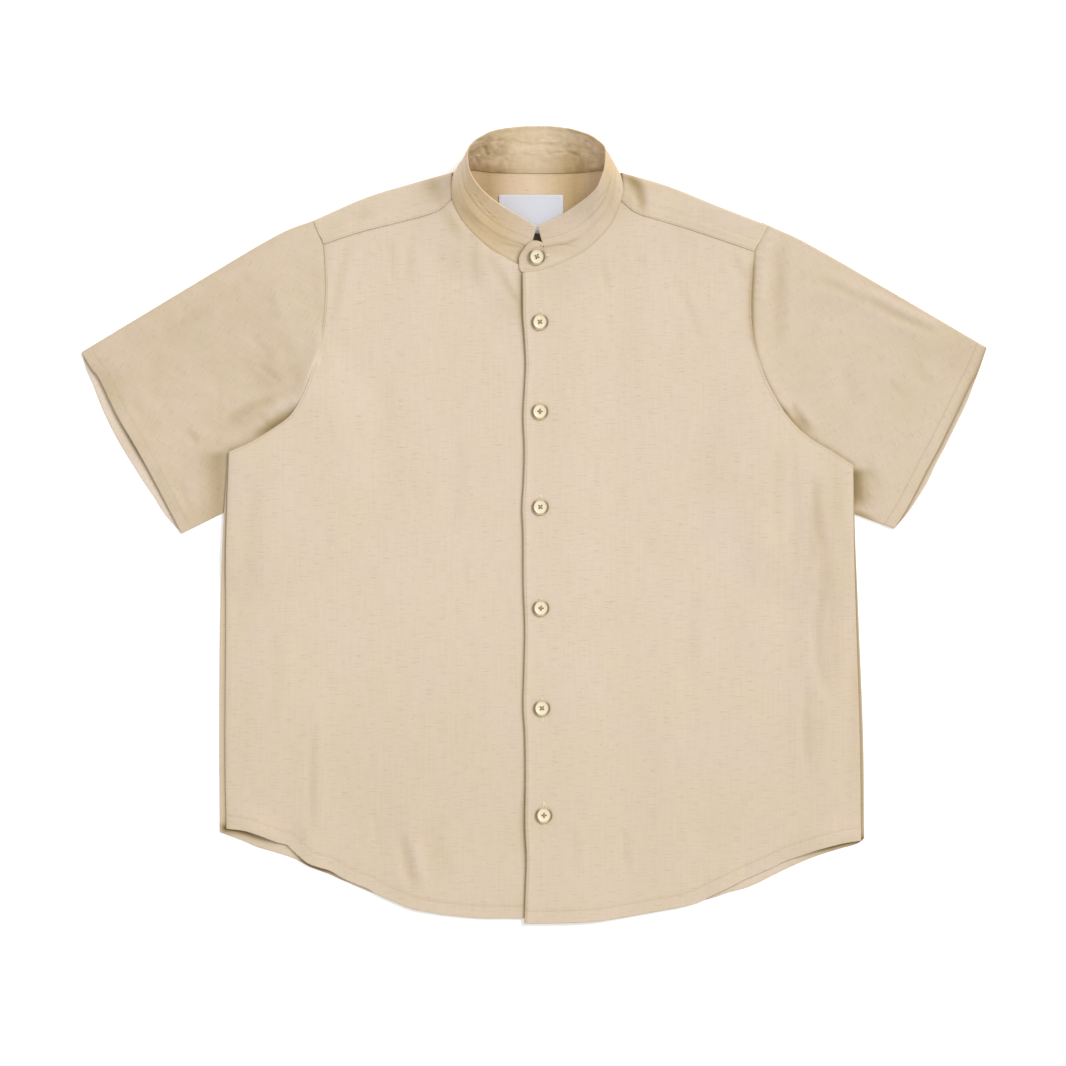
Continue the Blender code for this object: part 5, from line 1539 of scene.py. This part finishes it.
def sewSeams():
    thread = plainFinish("thread", sewing["colour"])
    runs = {"hems": [], "cuffs": [], "yoke_seams": [], "armholes": [], "lap": []}
    for side, sign in (("right", 1), ("left", -1)):
        grid, sleeve, strip = frontPieces[side][1], sleevePieces[side][1], yokeStrips[side]
        hem = inside(smoothLine(bodyCut["frontHem"][side]), sign * (bodyCut["hemWidth"] - 0.7))
        cuff = inside(sleeve[-1, 4:-4, :2], sign * (sleeveCut["hemWidth"] - 0.6))
        runs["hems"].append(laidOn(grid, hem))
        runs["cuffs"].append(laidOn(sleeve, cuff))
        runs["yoke_seams"].append(laidOn(strip, inside(strip[-1, :, :2], sign * 1.6)))
        runs["armholes"].append(laidOn(grid, inside(armholeLine(side, 3, 11), sign * 2.0)))
    runs["lap"].append(laidOn(frontPieces["left"][1], inside(smoothLine(bodyCut["placketEdge"]), -2.2)))
    for seed, (name, run) in enumerate(runs.items(), start=3):
        sew(f"stitches_{name}", run, thread, seed)
    # The collar's rows run along its walls.
    band, stand = collarBand[1], collarStand[1]
    topRow = int(np.argmin(abs(bandShares - collarCut["topStitch"])))
    sew("stitches_collar", (band[:, topRow], band[:, 3], stand[:, 3]), thread, 11, (2.5, 1.8, 0.36))
    labelThread = plainFinish("label_thread", sewing["labelColour"])
    sew("stitches_label", [laidOn(labelGrid, [(-30.5, 304), (25, 304)])], labelThread, 12, (2.2, 1.5, 0.3))


def workButtonholes():
    # A line of dark marks as painted shade in the slit, between two rows of close stitches, with a bar at
    # each end.
    thread = plainFinish("buttonhole_thread", sewing["holeColour"], 0.6)
    dark = plainFinish("buttonhole_slit", sewing["slitShadeColour"])
    surface = surfaceTree(frontPieces["left"][1])
    rows, slits = [], []
    # The outline of a hole: straight sides and a bar at each end.
    angles = np.linspace(0, 2 * math.pi, 60)
    half, wide = 10.3, 0.85
    ring = (wide * np.clip(1.5 * np.cos(angles), -1, 1), half * np.clip(1.06 * np.sin(angles), -1, 1))
    slit = np.linspace(0.9 - half, half - 0.9, 14)
    for (x, y), shift in zip(button["places"], sewing["holeShifts"]):
        y = y + shift
        rows.append([(x + a, y + b, onSurface(surface, x + a, y + b) + 0.1) for a, b in zip(*ring)])
        slits.append([(x, y + t, onSurface(surface, x, y + t) + 0.02) for t in slit])
    # The collar's lies across.
    x, y = button["collarPlace"]
    across = x + 1.2 + 9.4 * np.clip(1.06 * np.cos(angles), -1, 1)
    up = y + 0.75 * np.clip(1.5 * np.sin(angles), -1, 1) + (across - x) * 0.12
    rows.append(np.stack([across, up, tabHeight(up) + 0.95], axis=1))
    slits.append([(x + t, y + t * 0.12, tabHeight(y + t * 0.12) + 0.85) for t in np.linspace(-6.0, 9.4, 14)])
    sew("buttonhole_stitches", rows, thread, 21, (0.45, 1.5, 0.42), math.pi / 2)
    sew("buttonhole_slits", slits, dark, 22, (0.5, 0.9, 0.25))


sewSeams()
workButtonholes()
print("seams sewn")

studio = {
    "floorColour": (0.97, 0.97, 0.97),
    "floorGlow": 0.24,
    "floorLevel": -0.0004,
    "floorHalf": 6.0,
    "fill": 0.65,
    "key": {"from": (0.62, 0.55, 0.90), "strength": 1.75, "spread": math.radians(26)},
}


def makeStudio():
    half, z = studio["floorHalf"], studio["floorLevel"]
    mesh = bpy.data.meshes.new("table_top")
    corners = [(x * half, y * half, z) for x, y in ((-1, -1), (1, -1), (1, 1), (-1, 1))]
    mesh.from_pydata(corners, [], [(0, 1, 2, 3)])
    mesh.materials.append(Shader("table_top").done({
        "Base Color": (*studio["floorColour"], 1),
        "Roughness": 0.9,
        "Emission Color": (1, 1, 1, 1),
        "Emission Strength": studio["floorGlow"],
    }))
    placed("table_top", mesh)
    key = studio["key"]
    data = bpy.data.lights.new("key", "SUN")
    data.energy = key["strength"]
    data.angle = key["spread"]
    lamp = placed("key", data)
    lamp.location = key["from"]
    lamp.rotation_euler = (-Vector(key["from"])).to_track_quat("-Z", "Y").to_euler()
    world = bpy.data.worlds.new("studio")
    world.use_nodes = True
    sky = world.node_tree.nodes["Background"].inputs
    sky["Color"].default_value = (1, 1, 1, 1)
    sky["Strength"].default_value = studio["fill"]
    scene.world = world
    scene.view_settings.view_transform = "Standard"
    scene.view_settings.look = "None"


makeStudio()
print("studio lit")
